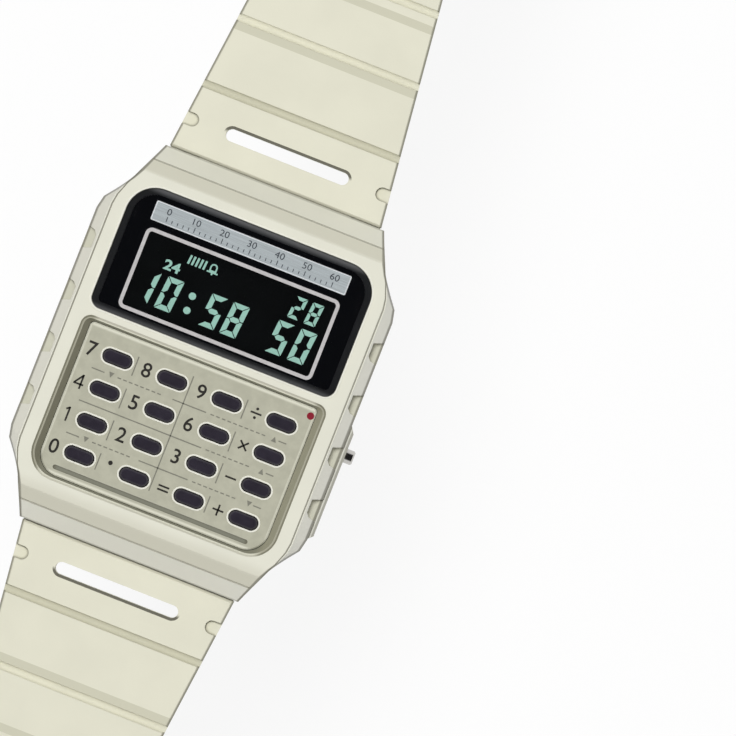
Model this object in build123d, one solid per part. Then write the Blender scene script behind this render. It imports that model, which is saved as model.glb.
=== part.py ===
from build123d import *
import os

# A calculator wristwatch, laid open on its back with both strap halves stretched out.
# The origin is the centre of the case back's outer face, on the table.
# +X points to 3 o'clock, +Y to 12 o'clock and +Z out of the display. Lengths are in mm.

os.makedirs("parts", exist_ok=True)

# Keys: a grid of rounded pills
key_columns = 4
key_rows = 4
key_pitch_x = 6.35
key_pitch_y = 3.75
key_width = 3.2
key_height = 1.4
key_rise = 0.45
key_crown = 0.3
key_flange_lip = 0.3
key_flange_thickness = 0.6
key_hole_clearance = 0.1
key_travel = 0.5

# Keypad panel, and the tray that it lies in, whose sides drop in two slopes with a ledge between
panel_margin_left = 2.55
panel_margin_right = 1.6
panel_margin_top = 2.2
panel_margin_bottom = 2.35
panel_thickness = 0.8
panel_clearance = 0.05
panel_corner_top = 0.5
panel_corner_bottom = 2.5
panel_edge_chamfer = 0.15
panel_groove_width = 0.5
panel_groove_depth = 0.3
panel_groove_margin_x = 1.9
panel_groove_margin_y = 0.7
tray_run_side = 1.0
tray_run_top = 0.55
tray_run_bottom = 0.55
tray_depth = 0.8
tray_corner_top = 1.15
tray_corner_bottom = 3.1
tray_step_run = 0.22
tray_step_drop = 0.25
tray_ledge = 0.12

# Display window
face_bar = 0.9
window_margin_bottom = 0.9
frame_line_height = 9.4
frame_line_width = 0.45
strip_gap = 0.7
strip_height = 2.2
window_margin_top = 1.3
window_margin_side = 2.8
crystal_inset = 0.1
crystal_thickness = 1.3
crystal_corner_top = 3.3
crystal_corner_bottom = 1.2
crystal_bevel_run = 0.65
crystal_bevel_drop = 0.3
crystal_clearance = 0.05
adhesive_width = 0.7
adhesive_thickness = 0.2
mask_thickness = 0.12
mask_clearance = 0.02
nameplate_thickness = 0.07
nameplate_corner = 0.3

# Case
face_shift_y = 0.15
bezel_land = 1.7
flank_run = 1.3
flank_drop = 2.4
end_land = 1.35
facet_1_run = 1.5
facet_1_drop = 1.0
facet_2_run = 1.9
facet_2_drop = 2.5
lug_inset_x = 4.5
corner_run_y = 9.0
case_lift = 0.5
case_bottom_chamfer = 0.4
line_inset = 0.1
line_width = 0.16
line_depth = 0.15
outer_corner_shares = [
    (1.0, 0.0),
    (0.689, 0.389),
    (0.556, 0.511),
    (0.289, 0.70),
    (0.067, 0.844),
    (0.0, 1.0),
]
bezel_corner_shares = [
    (1.0, 0.0),
    (0.533, 0.389),
    (0.42, 0.48),
    (0.25, 0.59),
    (0.06, 0.76),
    (0.0, 0.89),
]

# Grip recesses along both flanks, and the guard pad round the mode pusher
grip_count = 4
grip_pitch = 6.05
grip_width = 2.35
grip_depth = 1.1
grip_slant = 0.4
grip_corner_x = 0.35
grip_corner_y = 0.45
grip_height = 1.1
guard_rise = 0.5
guard_length = 13.1
guard_top_y = 0.65
guard_slant_top = 0.8
guard_slant_low = 0.45
guard_low = 0.8
guard_high = 4.6
guard_chamfer = 0.4

# Cavity, case back, gasket and screws
cavity_inset_x = 0.3
cavity_inset_y = 2.9
cavity_corner = 1.5
back_thickness = 0.8
back_rim_x = 1.4
back_rim_y = 1.6
back_corner = 1.4
back_clearance = 0.05
back_edge_chamfer = 0.2
gasket_gap = 0.25
gasket_width = 0.45
gasket_height = 0.6
gasket_clearance = 0.05
case_screw_inset = 1.0
case_screw_radius = 0.48
case_screw_head_radius = 0.75
case_screw_head_height = 0.4
case_screw_length = 3.2
fixed_clearance = 0.02
screw_slot_width = 0.22
screw_slot_depth = 0.2

# Module: the heights of its layers, from the case back upwards
foot_height = 0.4
foot_radius = 0.7
foot_inset = 1.2
housing_height = 2.2
board_thickness = 0.6
membrane_sheet = 0.5
membrane_rim_height = 1.0
membrane_rim_width = 0.3
membrane_edge_gap = 0.4
dome_inset = 0.4
dome_wall = 0.35
dome_spare = 0.7
keypad_deck = 0.8
opening_clearance = 0.15
holder_height = 2.1
display_deck = 0.6
deck_window_margin = 0.3
module_clearance = 0.25

# Display cell, its holder and its connector strip
glass_thickness = 0.55
glass_margin = 1.0
glass_ledge = 1.1
glass_gap = 0.05
holder_wall_x = 0.5
holder_wall_y = 1.4
holder_window_inset = 1.3
holder_corner = 1.0
zebra_width = 0.7
zebra_clearance = 0.05
zebra_end_inset = 2.0

# Battery, clip and module screws
battery_diameter = 20.0
battery_thickness = 1.6
battery_clearance = 0.15
battery_head = 0.05
battery_edge_wall = 0.45
battery_step_height = 0.35
battery_step_width = 1.3
clip_thickness = 0.2
clip_width = 4.0
clip_drop_y = 3.75
clip_end_gap = 0.45
module_screw_radius = 0.4
module_screw_head_radius = 0.7
module_screw_head_height = 0.15
module_screw_length = 1.6
module_screw_edge = 1.15

# Parts on the underside of the board
chip_size = 6.4
chip_thickness = 0.9
chip_x = -4.0
part_clearance = 0.15
can_radius = 0.75
can_length = 6.0
can_x = 6.0
can_edge = 1.7
capacitor_length = 1.0
capacitor_width = 0.6
capacitor_height = 0.55
capacitor_count = 4
capacitor_pitch = 1.1
capacitor_x = 7.6
capacitor_drop = 0.8
leaf_thickness = 0.15
leaf_width = 1.2
leaf_height = 1.4
leaf_gap = 0.1

# Buzzer
piezo_radius = 7.0
piezo_thickness = 0.12
ceramic_radius = 5.0
ceramic_thickness = 0.1
piezo_y = 7.6
buzzer_spring_radius = 0.6
buzzer_spring_wire = 0.1
buzzer_spring_turns = 4
buzzer_spring_x = 5.9
buzzer_spring_y = 9.4
buzzer_hole_clearance = 0.3
spring_gap = 0.01

# Pushers: mode on the right flank, adjust recessed in the left flank
pusher_y = -2.6
pusher_z = 2.7
pusher_radius = 0.8
pusher_bore_clearance = 0.06
pusher_stem_radius = 0.4
pusher_stem_clearance = 0.04
pusher_guide_length = 2.1
pusher_edge = 0.15
pusher_spring_length = 1.6
pusher_spring_wire = 0.08
pusher_spring_turns = 3
pusher_clip_radius = 0.65
pusher_clip_thickness = 0.25
pusher_clip_gap = 0.1
pusher_clip_neck = 0.1
pusher_tip_length = 0.1
seal_radius = 0.75
seal_width = 0.5
seal_clearance = 0.02
mode_travel = 0.7
mode_proud = 0.95
adjust_travel = 0.6
adjust_recess = 0.2

# Lugs and spring bars
ear_radius = 2.1
lug_pocket_width = 18.1
hood_lip = 0.65
tongue_clearance = 0.2
bar_radius = 0.75
bar_bore_radius = 0.5
bar_clearance = 0.05
tip_radius = 0.4
tip_hole_clearance = 0.05
tip_reach = 0.85
tip_hole_depth = 1.05
tip_flange_gap = 0.25
tip_flange_thickness = 0.25
tip_stem_clearance = 0.04
tip_stem_length = 4.4
tip_travel = 1.2
tip_stop_gap = 0.05
bar_spring_wire = 0.07
bar_spring_pitch = 1.1

# Strap halves
strap_gap = 0.15
strap_lug_inset = 0.4
strap_end_width = 18.0
strap_taper_length = 29.3
tongue_neck_top = 0.8
strap_root_top = 4.1
strap_root_low = 0.6
strap_thickness = 2.2
segment_length = 7.15
segment_groove_width = 0.9
segment_groove_depth = 0.6
segment_count = 3
strap_edge_chamfer = 0.25
slope_limit_share = 0.5
slot_length = 14.2
slot_width = 1.4
slot_from_end = 3.45
notch_width = 1.5
notch_depth = 1.6
notch_sink = 0.9
buckle_half_length = 75.0
hole_half_length = 115.0
strap_hole_radius = 1.0
strap_hole_count = 11
strap_hole_pitch = 6.0
strap_hole_from_tip = 22.0
strap_channel_width = 6.0
strap_channel_depth = 0.35
strap_channel_margin = 4.0
strap_tip_corner = 7.0

# Keeper
keeper_wall = 1.0
keeper_length = 6.0
keeper_side_clearance = 0.35
keeper_low_clearance = 0.1
keeper_spare_height = 0.5
keeper_from_pin = 14.5
keeper_corner = 0.5

# Buckle
pin_radius = 0.75
pin_clearance = 0.05
pin_end_inset = 0.3
strap_loop_radius = 1.45
tongue_slot_clearance = 0.35
tongue_slot_reach = 3.2
frame_inner_clearance = 0.3
frame_arm_width = 1.7
frame_arm_radius = 1.3
frame_reach = 7.6
frame_bar_length = 2.6
frame_bar_top = 2.6
frame_corner = 2.2
frame_notch_depth = 0.5
frame_notch_clearance = 0.2
buckle_tongue_width = 2.2
buckle_tongue_thickness = 1.0
buckle_tongue_eye_radius = 1.3
buckle_tongue_gap = 0.02
tongue_tip_share = 0.6

# One overrun for every cut
cut = 1.0


# Shapes
def block(x0, x1, y0, y1, z0, z1):
    """A box between two corners."""
    centre = Pos((x0 + x1) / 2, (y0 + y1) / 2, (z0 + z1) / 2)
    return centre * Box(x1 - x0, y1 - y0, z1 - z0)


def corners(x0, x1, y0, y1):
    """The corners of a rectangle, from lower left and round to upper left."""
    return [(x0, y0), (x1, y0), (x1, y1), (x0, y1)]


def sheet(x0, x1, y0, y1, r_low, r_high):
    """A flat rectangle with one radius at its lower and one at its upper corners."""
    radii = [r_low, r_low, r_high, r_high]
    return make_face(FilletPolyline(*corners(x0, x1, y0, y1), radius=radii, close=True))


def raised(face, z0, z1):
    """A flat outline, raised from one level to another."""
    return extrude(Pos(0, 0, z0) * face, amount=z1 - z0, dir=(0, 0, 1))


def prism(points, z0, z1):
    """A straight-sided outline, raised from one level to another."""
    return raised(make_face(Polyline(*points, close=True)), z0, z1)


def plate(x0, x1, y0, y1, z0, z1, r_low, r_high):
    """A plate with rounded corners."""
    return raised(sheet(x0, x1, y0, y1, r_low, r_high), z0, z1)


def tapered(low_face, z0, high_face, z1):
    """A solid between two like outlines at two levels."""
    return loft([Pos(0, 0, z0) * low_face, Pos(0, 0, z1) * high_face], ruled=True)


def side_prism(points, x0, x1):
    """An outline of (y, z) points, carried along X."""
    face = Plane.YZ.offset(x0) * make_face(Polyline(*points, close=True))
    return extrude(face, amount=x1 - x0, dir=(1, 0, 0))


def rod_x(radius, x0, x1, y, z):
    """A round bar along X."""
    return Pos((x0 + x1) / 2, y, z) * (Rot(0, 90, 0) * Cylinder(radius, abs(x1 - x0)))


def rod_z(radius, z0, z1, x, y):
    """A round bar along Z."""
    return Pos(x, y, (z0 + z1) / 2) * Cylinder(radius, z1 - z0)


def pill(x, y, width, height, z0, z1):
    """A block with half-round ends, longer along X."""
    return raised(Pos(x, y) * SlotOverall(width, height), z0, z1)


def coil(radius, wire, length, turns):
    """A round wire coil that stands on z = 0."""
    run = length - 2 * wire
    path = Pos(0, 0, wire) * Helix(pitch=run / turns, height=run, radius=radius)
    return sweep(Plane(path @ 0, z_dir=path % 0) * Circle(wire), path=path)


def mirrored(points):
    """A quadrant of outline points, mirrored into a closed outline."""
    right = points + [(x, -y) for x, y in reversed(points)]
    return right + [(-x, y) for x, y in reversed(right)]


def top_edges(solid):
    """The edges round the highest flat face."""
    return solid.faces().sort_by(Axis.Z)[-1].edges()


def low_edges(solid):
    """The edges round the lowest flat face."""
    return solid.faces().sort_by(Axis.Z)[0].edges()


def save(shape, name):
    """Writes one node."""
    export_step(shape, "parts/" + name + ".step")


# Places on the face, worked out from the keys and the display outwards
key_span_x = (key_columns - 1) * key_pitch_x
key_span_y = (key_rows - 1) * key_pitch_y
panel_width = key_span_x + key_width + panel_margin_left + panel_margin_right
panel_length = key_span_y + key_height + panel_margin_top + panel_margin_bottom
panel_half_x = panel_width / 2
tray_half_x = panel_half_x + tray_run_side
tray_length = panel_length + tray_run_top + tray_run_bottom
frame_line_half_x = tray_half_x - crystal_inset - window_margin_side
crystal_half_x = tray_half_x - crystal_inset
crystal_length = window_margin_bottom + frame_line_height + strip_gap + strip_height + window_margin_top

face_half_y = (crystal_length + face_bar + tray_length) / 2
crystal_top = face_half_y + face_shift_y
crystal_bottom = crystal_top - crystal_length
tray_top = crystal_bottom - face_bar
tray_bottom = tray_top - tray_length
panel_top = tray_top - tray_run_top
panel_bottom = tray_bottom + tray_run_bottom
frame_line_bottom = crystal_bottom + window_margin_bottom
frame_line_top = frame_line_bottom + frame_line_height
strip_bottom = frame_line_top + strip_gap
strip_top = strip_bottom + strip_height
window_half_x = frame_line_half_x - frame_line_width
window_bottom = frame_line_bottom + frame_line_width
window_top = frame_line_top - frame_line_width

key_first_x = -panel_half_x + panel_margin_left + key_width / 2
key_first_y = panel_top - panel_margin_top - key_height / 2
key_xs = [key_first_x + key_pitch_x * column for column in range(key_columns)]
key_ys = [key_first_y - key_pitch_y * row for row in range(key_rows)]

bezel_half_x = tray_half_x + bezel_land
case_half_x = bezel_half_x + flank_run
end_flat_half_y = face_half_y + end_land
case_half_y = end_flat_half_y + facet_1_run + facet_2_run
lug_half_x = case_half_x - lug_inset_x
cavity_half_x = panel_half_x - cavity_inset_x
cavity_half_y = end_flat_half_y - cavity_inset_y

# Levels, worked out from the table upwards
back_top = back_thickness
housing_low = back_top + foot_height
board_low = housing_low + housing_height
board_top = board_low + board_thickness
membrane_top = board_top + membrane_sheet
keypad_roof = membrane_top + membrane_rim_height
panel_low = keypad_roof + keypad_deck
panel_face = panel_low + panel_thickness
bezel_face = panel_face + tray_depth
holder_top = board_top + holder_height
crystal_seat = holder_top + display_deck
crystal_low = crystal_seat + adhesive_thickness
crystal_face = crystal_low + crystal_thickness
flank_break = bezel_face - flank_drop
facet_break = bezel_face - facet_1_drop
lug_top = facet_break - facet_2_drop
key_flange_low = panel_low - key_flange_thickness

# Lug pivots and pushers
bar_y = case_half_y - ear_radius
bar_z = case_lift + ear_radius
pocket_half_x = lug_pocket_width / 2
tongue_half_x = pocket_half_x - tongue_clearance
tongue_radius = ear_radius - tongue_clearance - tip_hole_clearance
pocket_radius = tongue_radius + tongue_clearance
pusher_seat = cavity_half_x + pusher_guide_length
pusher_back = pusher_seat + pusher_spring_length
guard_face = case_half_x + guard_rise
seal_middle = cavity_half_x + pusher_guide_length / 2


# Case
def case_outline(half_x, shares):
    """The watch head's outline, corner by corner, for one half width."""
    run_x = half_x - lug_half_x
    quadrant = []
    for share_x, share_y in shares:
        quadrant.append((half_x - run_x * share_x, case_half_y - corner_run_y * share_y))
    return make_face(Polyline(*mirrored(quadrant), close=True))


def case_blank():
    """The head's outer form before anything is cut: straight below, sloping flanks above."""
    outer = case_outline(case_half_x, outer_corner_shares)
    top = case_outline(bezel_half_x, bezel_corner_shares)
    lower = raised(outer, case_lift, flank_break)
    lower = chamfer(low_edges(lower), case_bottom_chamfer)
    return lower + tapered(outer, flank_break, top, bezel_face)


def end_facets():
    """What the two facets take off each end, over the lugs."""
    reach = case_half_y + cut
    high = bezel_face + cut
    facet_end = end_flat_half_y + facet_1_run
    points = [
        (end_flat_half_y, bezel_face),
        (facet_end, facet_break),
        (case_half_y, lug_top),
        (reach, lug_top),
        (reach, high),
        (end_flat_half_y, high),
    ]
    piece = side_prism(points, -case_half_x, case_half_x)
    return piece + mirror(piece, about=Plane.XZ)


def bezel_lines():
    """The fine lines cut along the bezel's two long edges, and across the middle of each end."""
    floor = bezel_face - line_depth
    outer = case_outline(bezel_half_x - line_inset, bezel_corner_shares)
    inner = case_outline(bezel_half_x - line_inset - line_width, bezel_corner_shares)
    ring = raised(outer, floor, bezel_face + cut) - raised(inner, floor - cut, bezel_face + 2 * cut)
    sides = ring & block(
        -case_half_x, case_half_x, -end_flat_half_y, end_flat_half_y, floor - cut, bezel_face + cut
    )
    break_y = end_flat_half_y + facet_1_run
    across = block(
        -case_half_x, case_half_x, break_y - line_width / 2, break_y + line_width / 2,
        facet_break - line_depth, bezel_face,
    )
    return sides + across + mirror(across, about=Plane.XZ)


def lug_pocket():
    """The space under each hood that the strap's tongue turns in."""
    low = case_lift - cut
    reach = case_half_y + cut
    roof = lug_top - hood_lip
    hub = rod_x(pocket_radius, -pocket_half_x, pocket_half_x, bar_y, bar_z)
    below = block(-pocket_half_x, pocket_half_x, bar_y - pocket_radius, reach, low, bar_z)
    ahead = block(-pocket_half_x, pocket_half_x, bar_y, reach, low, roof)
    hole_half_x = pocket_half_x + tip_hole_depth
    hole = rod_x(tip_radius + tip_hole_clearance, -hole_half_x, hole_half_x, bar_y, bar_z)
    piece = hub + below + ahead + hole
    return piece + mirror(piece, about=Plane.XZ)


def ear_rounding():
    """What is taken off the lower outer corner of each lug, so that the strap can swing."""
    low = case_lift - cut
    reach = case_half_y + cut
    corner = block(-case_half_x, case_half_x, bar_y, reach, low, bar_z)
    piece = corner - rod_x(ear_radius, -case_half_x, case_half_x, bar_y, bar_z)
    return piece + mirror(piece, about=Plane.XZ)


def grip_recesses():
    """The notches along both flanks, wider at the mouth and each with one slanted corner."""
    inner = case_half_x - grip_depth
    outer = case_half_x + guard_rise + cut
    floor = flank_break - grip_height / 2
    first = grip_pitch * (grip_count - 1) / 2
    notches = Part()
    for index in range(grip_count):
        middle = first - grip_pitch * index
        high = middle + grip_width / 2
        low = middle - grip_width / 2
        points = [
            (inner, high - grip_slant),
            (case_half_x, high),
            (outer, high),
            (outer, low - grip_slant / 2),
            (case_half_x, low - grip_slant / 2),
            (inner + grip_corner_x, low),
            (inner, low + grip_corner_y),
        ]
        notches += prism(points, floor, bezel_face + cut)
    across = mirror(notches, about=Plane.YZ)
    return notches + mirror(across, about=Plane.XZ)


def guard_pad():
    """The raised pad round the mode pusher."""
    low_y = guard_top_y - guard_length
    inner = case_half_x - guard_rise
    points = [
        (inner, low_y),
        (case_half_x, low_y),
        (guard_face, low_y + guard_slant_low),
        (guard_face, guard_top_y - guard_slant_top),
        (case_half_x, guard_top_y),
        (inner, guard_top_y),
    ]
    pad = prism(points, guard_low, guard_high)
    outer_edges = pad.edges().filter_by(Axis.Y).group_by(Axis.X)[-1]
    return chamfer(outer_edges, guard_chamfer)


def pusher_bores(side):
    """The stepped bore of one pusher, with the groove of its seal."""
    outer = side * (guard_face + cut)
    seat = side * pusher_seat
    inner = side * (cavity_half_x - cut)
    bore = rod_x(pusher_radius + pusher_bore_clearance, seat, outer, pusher_y, pusher_z)
    bore += rod_x(pusher_stem_radius + pusher_stem_clearance, inner, seat, pusher_y, pusher_z)
    seal_low = side * (seal_middle - seal_width / 2)
    seal_high = side * (seal_middle + seal_width / 2)
    return bore + rod_x(seal_radius, seal_low, seal_high, pusher_y, pusher_z)


def key_opening():
    """The limits of the opening under the panel that the key flanges move in."""
    spare = key_flange_lip + opening_clearance
    return (
        key_xs[0] - key_width / 2 - spare,
        key_xs[-1] + key_width / 2 + spare,
        key_ys[-1] - key_height / 2 - spare,
        key_ys[0] + key_height / 2 + spare,
    )


def screw_places():
    """The four case back screws."""
    x = cavity_half_x + back_rim_x - case_screw_inset
    y = cavity_half_y + back_rim_y - case_screw_inset
    return [(x, y), (-x, y), (-x, -y), (x, -y)]


def gasket_ring(gap, width, height):
    """A ring that follows the cavity's edge, on the case back's inner face."""
    x = cavity_half_x + gap
    y = cavity_half_y + gap
    r = cavity_corner + gap
    far_x, far_y, far_r = x + width, y + width, r + width
    outer = plate(-far_x, far_x, -far_y, far_y, back_top, back_top + height, far_r, far_r)
    return outer - plate(-x, x, -y, y, back_top - cut, back_top + height + cut, r, r)


def tray_sheet(inset):
    """The tray's rim, drawn in by an inset."""
    half_x = tray_half_x - inset
    low = tray_bottom + inset
    high = tray_top - inset
    return sheet(-half_x, half_x, low, high, tray_corner_bottom - inset, tray_corner_top - inset)


def tray_cut():
    """The tray round the keypad with its ledge, and the seat of the panel below it."""
    rim = tray_sheet(0)
    ledge_z = bezel_face - tray_step_drop
    floor = sheet(
        -panel_half_x, panel_half_x, panel_bottom, panel_top, panel_corner_bottom, panel_corner_top
    )
    slopes = tapered(tray_sheet(tray_step_run), ledge_z, rim, bezel_face)
    slopes += tapered(floor, panel_face, tray_sheet(tray_step_run + tray_ledge), ledge_z)
    above = raised(rim, bezel_face, bezel_face + cut)
    seat = raised(floor, panel_low, panel_face)
    x0, x1, y0, y1 = key_opening()
    opening = plate(x0, x1, y0, y1, keypad_roof - cut, panel_low + cut, key_flange_lip, key_flange_lip)
    return slopes + above + seat + opening


def crystal_cut():
    """The crystal's recess, and the window in the deck under it."""
    half_x = crystal_half_x + crystal_clearance
    low = crystal_bottom - crystal_clearance
    high = crystal_top + crystal_clearance
    r_low = crystal_corner_bottom + crystal_clearance
    r_high = crystal_corner_top + crystal_clearance
    recess = plate(-half_x, half_x, low, high, crystal_seat, bezel_face + cut, r_low, r_high)
    window_x = window_half_x + deck_window_margin
    window_low = window_bottom - deck_window_margin
    window_high = window_top + deck_window_margin
    return recess + block(
        -window_x, window_x, window_low, window_high, holder_top - cut, crystal_seat + cut
    )


def cavity_cut():
    """The room for the module, closed by the case back, with a lower roof over the keypad."""
    x, y, r = cavity_half_x, cavity_half_y, cavity_corner
    lower = plate(-x, x, -y, y, case_lift - cut, keypad_roof, r, r)
    upper_low = tray_top - face_bar / 2
    upper = plate(-x, x, upper_low, y, keypad_roof - membrane_sheet, holder_top, membrane_sheet, r)
    back_x = x + back_rim_x + back_clearance
    back_y = y + back_rim_y + back_clearance
    back_r = back_corner + back_clearance
    seat = plate(-back_x, back_x, -back_y, back_y, case_lift - cut, back_top, back_r, back_r)
    groove = gasket_ring(
        gasket_gap, gasket_width + 2 * gasket_clearance, gasket_height
    )
    holes = Part()
    for sx, sy in screw_places():
        depth = case_screw_head_height + case_screw_length + fixed_clearance
        holes += rod_z(case_screw_radius + fixed_clearance, case_lift - cut, depth, sx, sy)
    return lower + upper + seat + groove + holes


case_body = case_blank() - end_facets() - grip_recesses()
case_body = case_body + guard_pad()
case_body = case_body - bezel_lines() - lug_pocket() - ear_rounding()
case_body = case_body - tray_cut() - crystal_cut() - cavity_cut()
case_body = case_body - pusher_bores(1) - pusher_bores(-1)
save(case_body, "case_body")


# Crystal, its adhesive, and the printed mask and bare strip under it
def crystal_sheet(inset):
    """The crystal's outline, drawn in by an inset."""
    half_x = crystal_half_x - inset
    low = crystal_bottom + inset
    high = crystal_top - inset
    return sheet(-half_x, half_x, low, high, crystal_corner_bottom - inset, crystal_corner_top - inset)


bevel_low = crystal_face - crystal_bevel_drop
crystal = raised(crystal_sheet(0), crystal_low, bevel_low)
crystal = crystal + tapered(crystal_sheet(0), bevel_low, crystal_sheet(crystal_bevel_run), crystal_face)
save(crystal, "crystal")

adhesive = raised(crystal_sheet(0), crystal_seat, crystal_low)
adhesive = adhesive - raised(crystal_sheet(adhesive_width), crystal_seat - cut, crystal_low + cut)
save(adhesive, "crystal_adhesive")

mask_face = crystal_seat + mask_thickness
mask = raised(crystal_sheet(adhesive_width + mask_clearance), crystal_seat, mask_face)
mask = mask - block(
    -window_half_x, window_half_x, window_bottom, window_top, crystal_seat - cut, mask_face + cut
)
save(mask, "dial_mask")

nameplate_face = mask_face + nameplate_thickness
nameplate = plate(
    -frame_line_half_x, frame_line_half_x, strip_bottom, strip_top,
    mask_face, nameplate_face, nameplate_corner, nameplate_corner,
)
save(nameplate, "dial_nameplate")

# Keypad panel
panel_x = panel_half_x - panel_clearance
panel_y0 = panel_bottom + panel_clearance
panel_y1 = panel_top - panel_clearance
panel = plate(
    -panel_x, panel_x, panel_y0, panel_y1, panel_low, panel_face, panel_corner_bottom, panel_corner_top
)
panel = chamfer(panel.edges().group_by(Axis.Z)[-1], panel_edge_chamfer)
for x in key_xs:
    for y in key_ys:
        hole_width = key_width + 2 * key_hole_clearance
        hole_height = key_height + 2 * key_hole_clearance
        panel -= pill(x, y, hole_width, hole_height, panel_low - cut, panel_face + cut)
groove_y = panel_bottom + panel_groove_margin_y
groove_x = panel_half_x - panel_groove_margin_x
panel -= pill(
    0, groove_y + panel_groove_width / 2, 2 * groove_x, panel_groove_width,
    panel_face - panel_groove_depth, panel_face + cut,
)
save(panel, "keypad_panel")

# Keys, named for what each one enters
key_names = [
    ["key_7", "key_8", "key_9", "key_divide"],
    ["key_4", "key_5", "key_6", "key_times"],
    ["key_1", "key_2", "key_3", "key_minus"],
    ["key_0", "key_point", "key_equals", "key_plus"],
]


def key(x, y):
    """One key: a crowned pill on a flange that the panel holds down."""
    top = pill(x, y, key_width, key_height, panel_low, panel_face + key_rise)
    top = fillet(top_edges(top), key_crown)
    flange_width = key_width + 2 * key_flange_lip
    flange_height = key_height + 2 * key_flange_lip
    return top + pill(x, y, flange_width, flange_height, key_flange_low, panel_low)


for names, y in zip(key_names, key_ys):
    for name, x in zip(names, key_xs):
        save(key(x, y), name)

# Keypad membrane: a sheet with a sealing rim, and a hollow dome under each key
open_x0, open_x1, open_y0, open_y1 = key_opening()
rim_out = opening_clearance + membrane_rim_width
mem_x = cavity_half_x - membrane_edge_gap
mem_y0 = open_y0 - rim_out
mem_y1 = open_y1 + rim_out
mem_r = cavity_corner - membrane_edge_gap
membrane = plate(-mem_x, mem_x, mem_y0, mem_y1, board_top, membrane_top, mem_r, mem_r)
rim = plate(-mem_x, mem_x, mem_y0, mem_y1, membrane_top, keypad_roof, mem_r, mem_r)
rim -= plate(
    open_x0 - opening_clearance, open_x1, open_y0 - opening_clearance, open_y1 + opening_clearance,
    membrane_top - cut, keypad_roof + cut, opening_clearance, opening_clearance,
)
membrane += rim
for x in key_xs:
    for y in key_ys:
        dome_width = key_width - dome_inset
        dome_height = key_height - dome_inset
        membrane += pill(x, y, dome_width, dome_height, membrane_top, key_flange_low)
        hollow_width = dome_width - 2 * dome_wall
        hollow_height = dome_height - 2 * dome_wall
        hollow_top = board_top + key_travel + dome_spare
        membrane -= pill(x, y, hollow_width, hollow_height, board_top - cut, hollow_top)
save(membrane, "keypad_membrane")

# Display cell: a larger upper glass whose ledge meets the connector strip
glass_x = window_half_x + glass_margin
glass_y0 = window_bottom - glass_margin
glass_y1 = window_top + glass_margin
ledge_y1 = glass_y1 + glass_ledge
cell_top = holder_top - glass_gap
cell_middle = cell_top - glass_thickness
cell_low = cell_middle - glass_thickness
cell = block(-glass_x, glass_x, glass_y0, ledge_y1, cell_middle, cell_top)
cell = cell + block(-glass_x, glass_x, glass_y0, glass_y1, cell_low, cell_middle)
save(cell, "lcd_panel")

# Holder of the display cell
holder_x = glass_x + glass_gap + holder_wall_x
holder_y0 = glass_y0 - glass_gap - holder_wall_y
holder_y1 = ledge_y1 + glass_gap + holder_wall_x
zebra_y0 = glass_y1 + zebra_clearance + glass_gap
zebra_y1 = zebra_y0 + zebra_width
zebra_x = glass_x - zebra_end_inset
holder = plate(
    -holder_x, holder_x, holder_y0, holder_y1, board_top, holder_top, holder_corner, holder_corner
)
holder -= block(
    -glass_x - glass_gap, glass_x + glass_gap, glass_y0 - glass_gap, ledge_y1 + glass_gap,
    cell_low, holder_top + cut,
)
holder -= block(
    -glass_x + holder_window_inset, glass_x - holder_window_inset,
    glass_y0 + holder_window_inset, glass_y1 - holder_window_inset,
    board_top - cut, cell_low + cut,
)
holder -= block(
    -zebra_x - zebra_clearance, zebra_x + zebra_clearance,
    zebra_y0 - zebra_clearance, zebra_y1 + zebra_clearance,
    board_top - cut, cell_low + cut,
)
save(holder, "lcd_holder")
save(block(-zebra_x, zebra_x, zebra_y0, zebra_y1, board_top, cell_middle), "zebra_strip")

# Circuit board
board_x = cavity_half_x - module_clearance
board_y = cavity_half_y - module_clearance
board_r = cavity_corner - module_clearance
board = plate(-board_x, board_x, -board_y, board_y, board_low, board_top, board_r, board_r)
save(board, "circuit_board")

# Battery, low in the module, with its step towards the case back
battery_radius = battery_diameter / 2
battery_y = -board_y + battery_edge_wall + battery_clearance + battery_radius
battery_top = housing_low + battery_thickness
battery = rod_z(battery_radius, housing_low + battery_step_height, battery_top, 0, battery_y)
battery += rod_z(
    battery_radius - battery_step_width, housing_low, housing_low + battery_step_height, 0, battery_y
)
save(battery, "battery")

# Parts on the underside of the board, in the room above the battery
free_y0 = battery_y + battery_radius + battery_clearance
free_middle = (free_y0 + board_y) / 2
chip_low = board_low - chip_thickness
chip_half = chip_size / 2
chip = block(
    chip_x - chip_half, chip_x + chip_half, free_middle - chip_half, free_middle + chip_half,
    chip_low, board_low,
)
save(chip, "main_chip")

can_y = board_y - can_edge
can_z = board_low - can_radius
save(rod_x(can_radius, can_x - can_length / 2, can_x + can_length / 2, can_y, can_z), "quartz_crystal_can")

capacitor_y = free_middle - capacitor_drop
capacitors = Part()
for index in range(capacitor_count):
    x0 = capacitor_x + capacitor_pitch * index
    capacitors += block(
        x0, x0 + capacitor_width, capacitor_y - capacitor_length / 2, capacitor_y + capacitor_length / 2,
        board_low - capacitor_height, board_low,
    )
save(capacitors, "chip_capacitors")

tip_x = cavity_half_x - pusher_clip_gap - pusher_clip_thickness - pusher_tip_length
leaf_faces = {1: tip_x - mode_travel - leaf_gap, -1: tip_x - adjust_travel - leaf_gap}
leaves = Part()
for side, leaf_face in leaf_faces.items():
    x0, x1 = sorted((side * leaf_face, side * (leaf_face - leaf_thickness)))
    leaves += block(
        x0, x1, pusher_y - leaf_width / 2, pusher_y + leaf_width / 2, board_low - leaf_height, board_low
    )
save(leaves, "switch_contacts")

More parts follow.
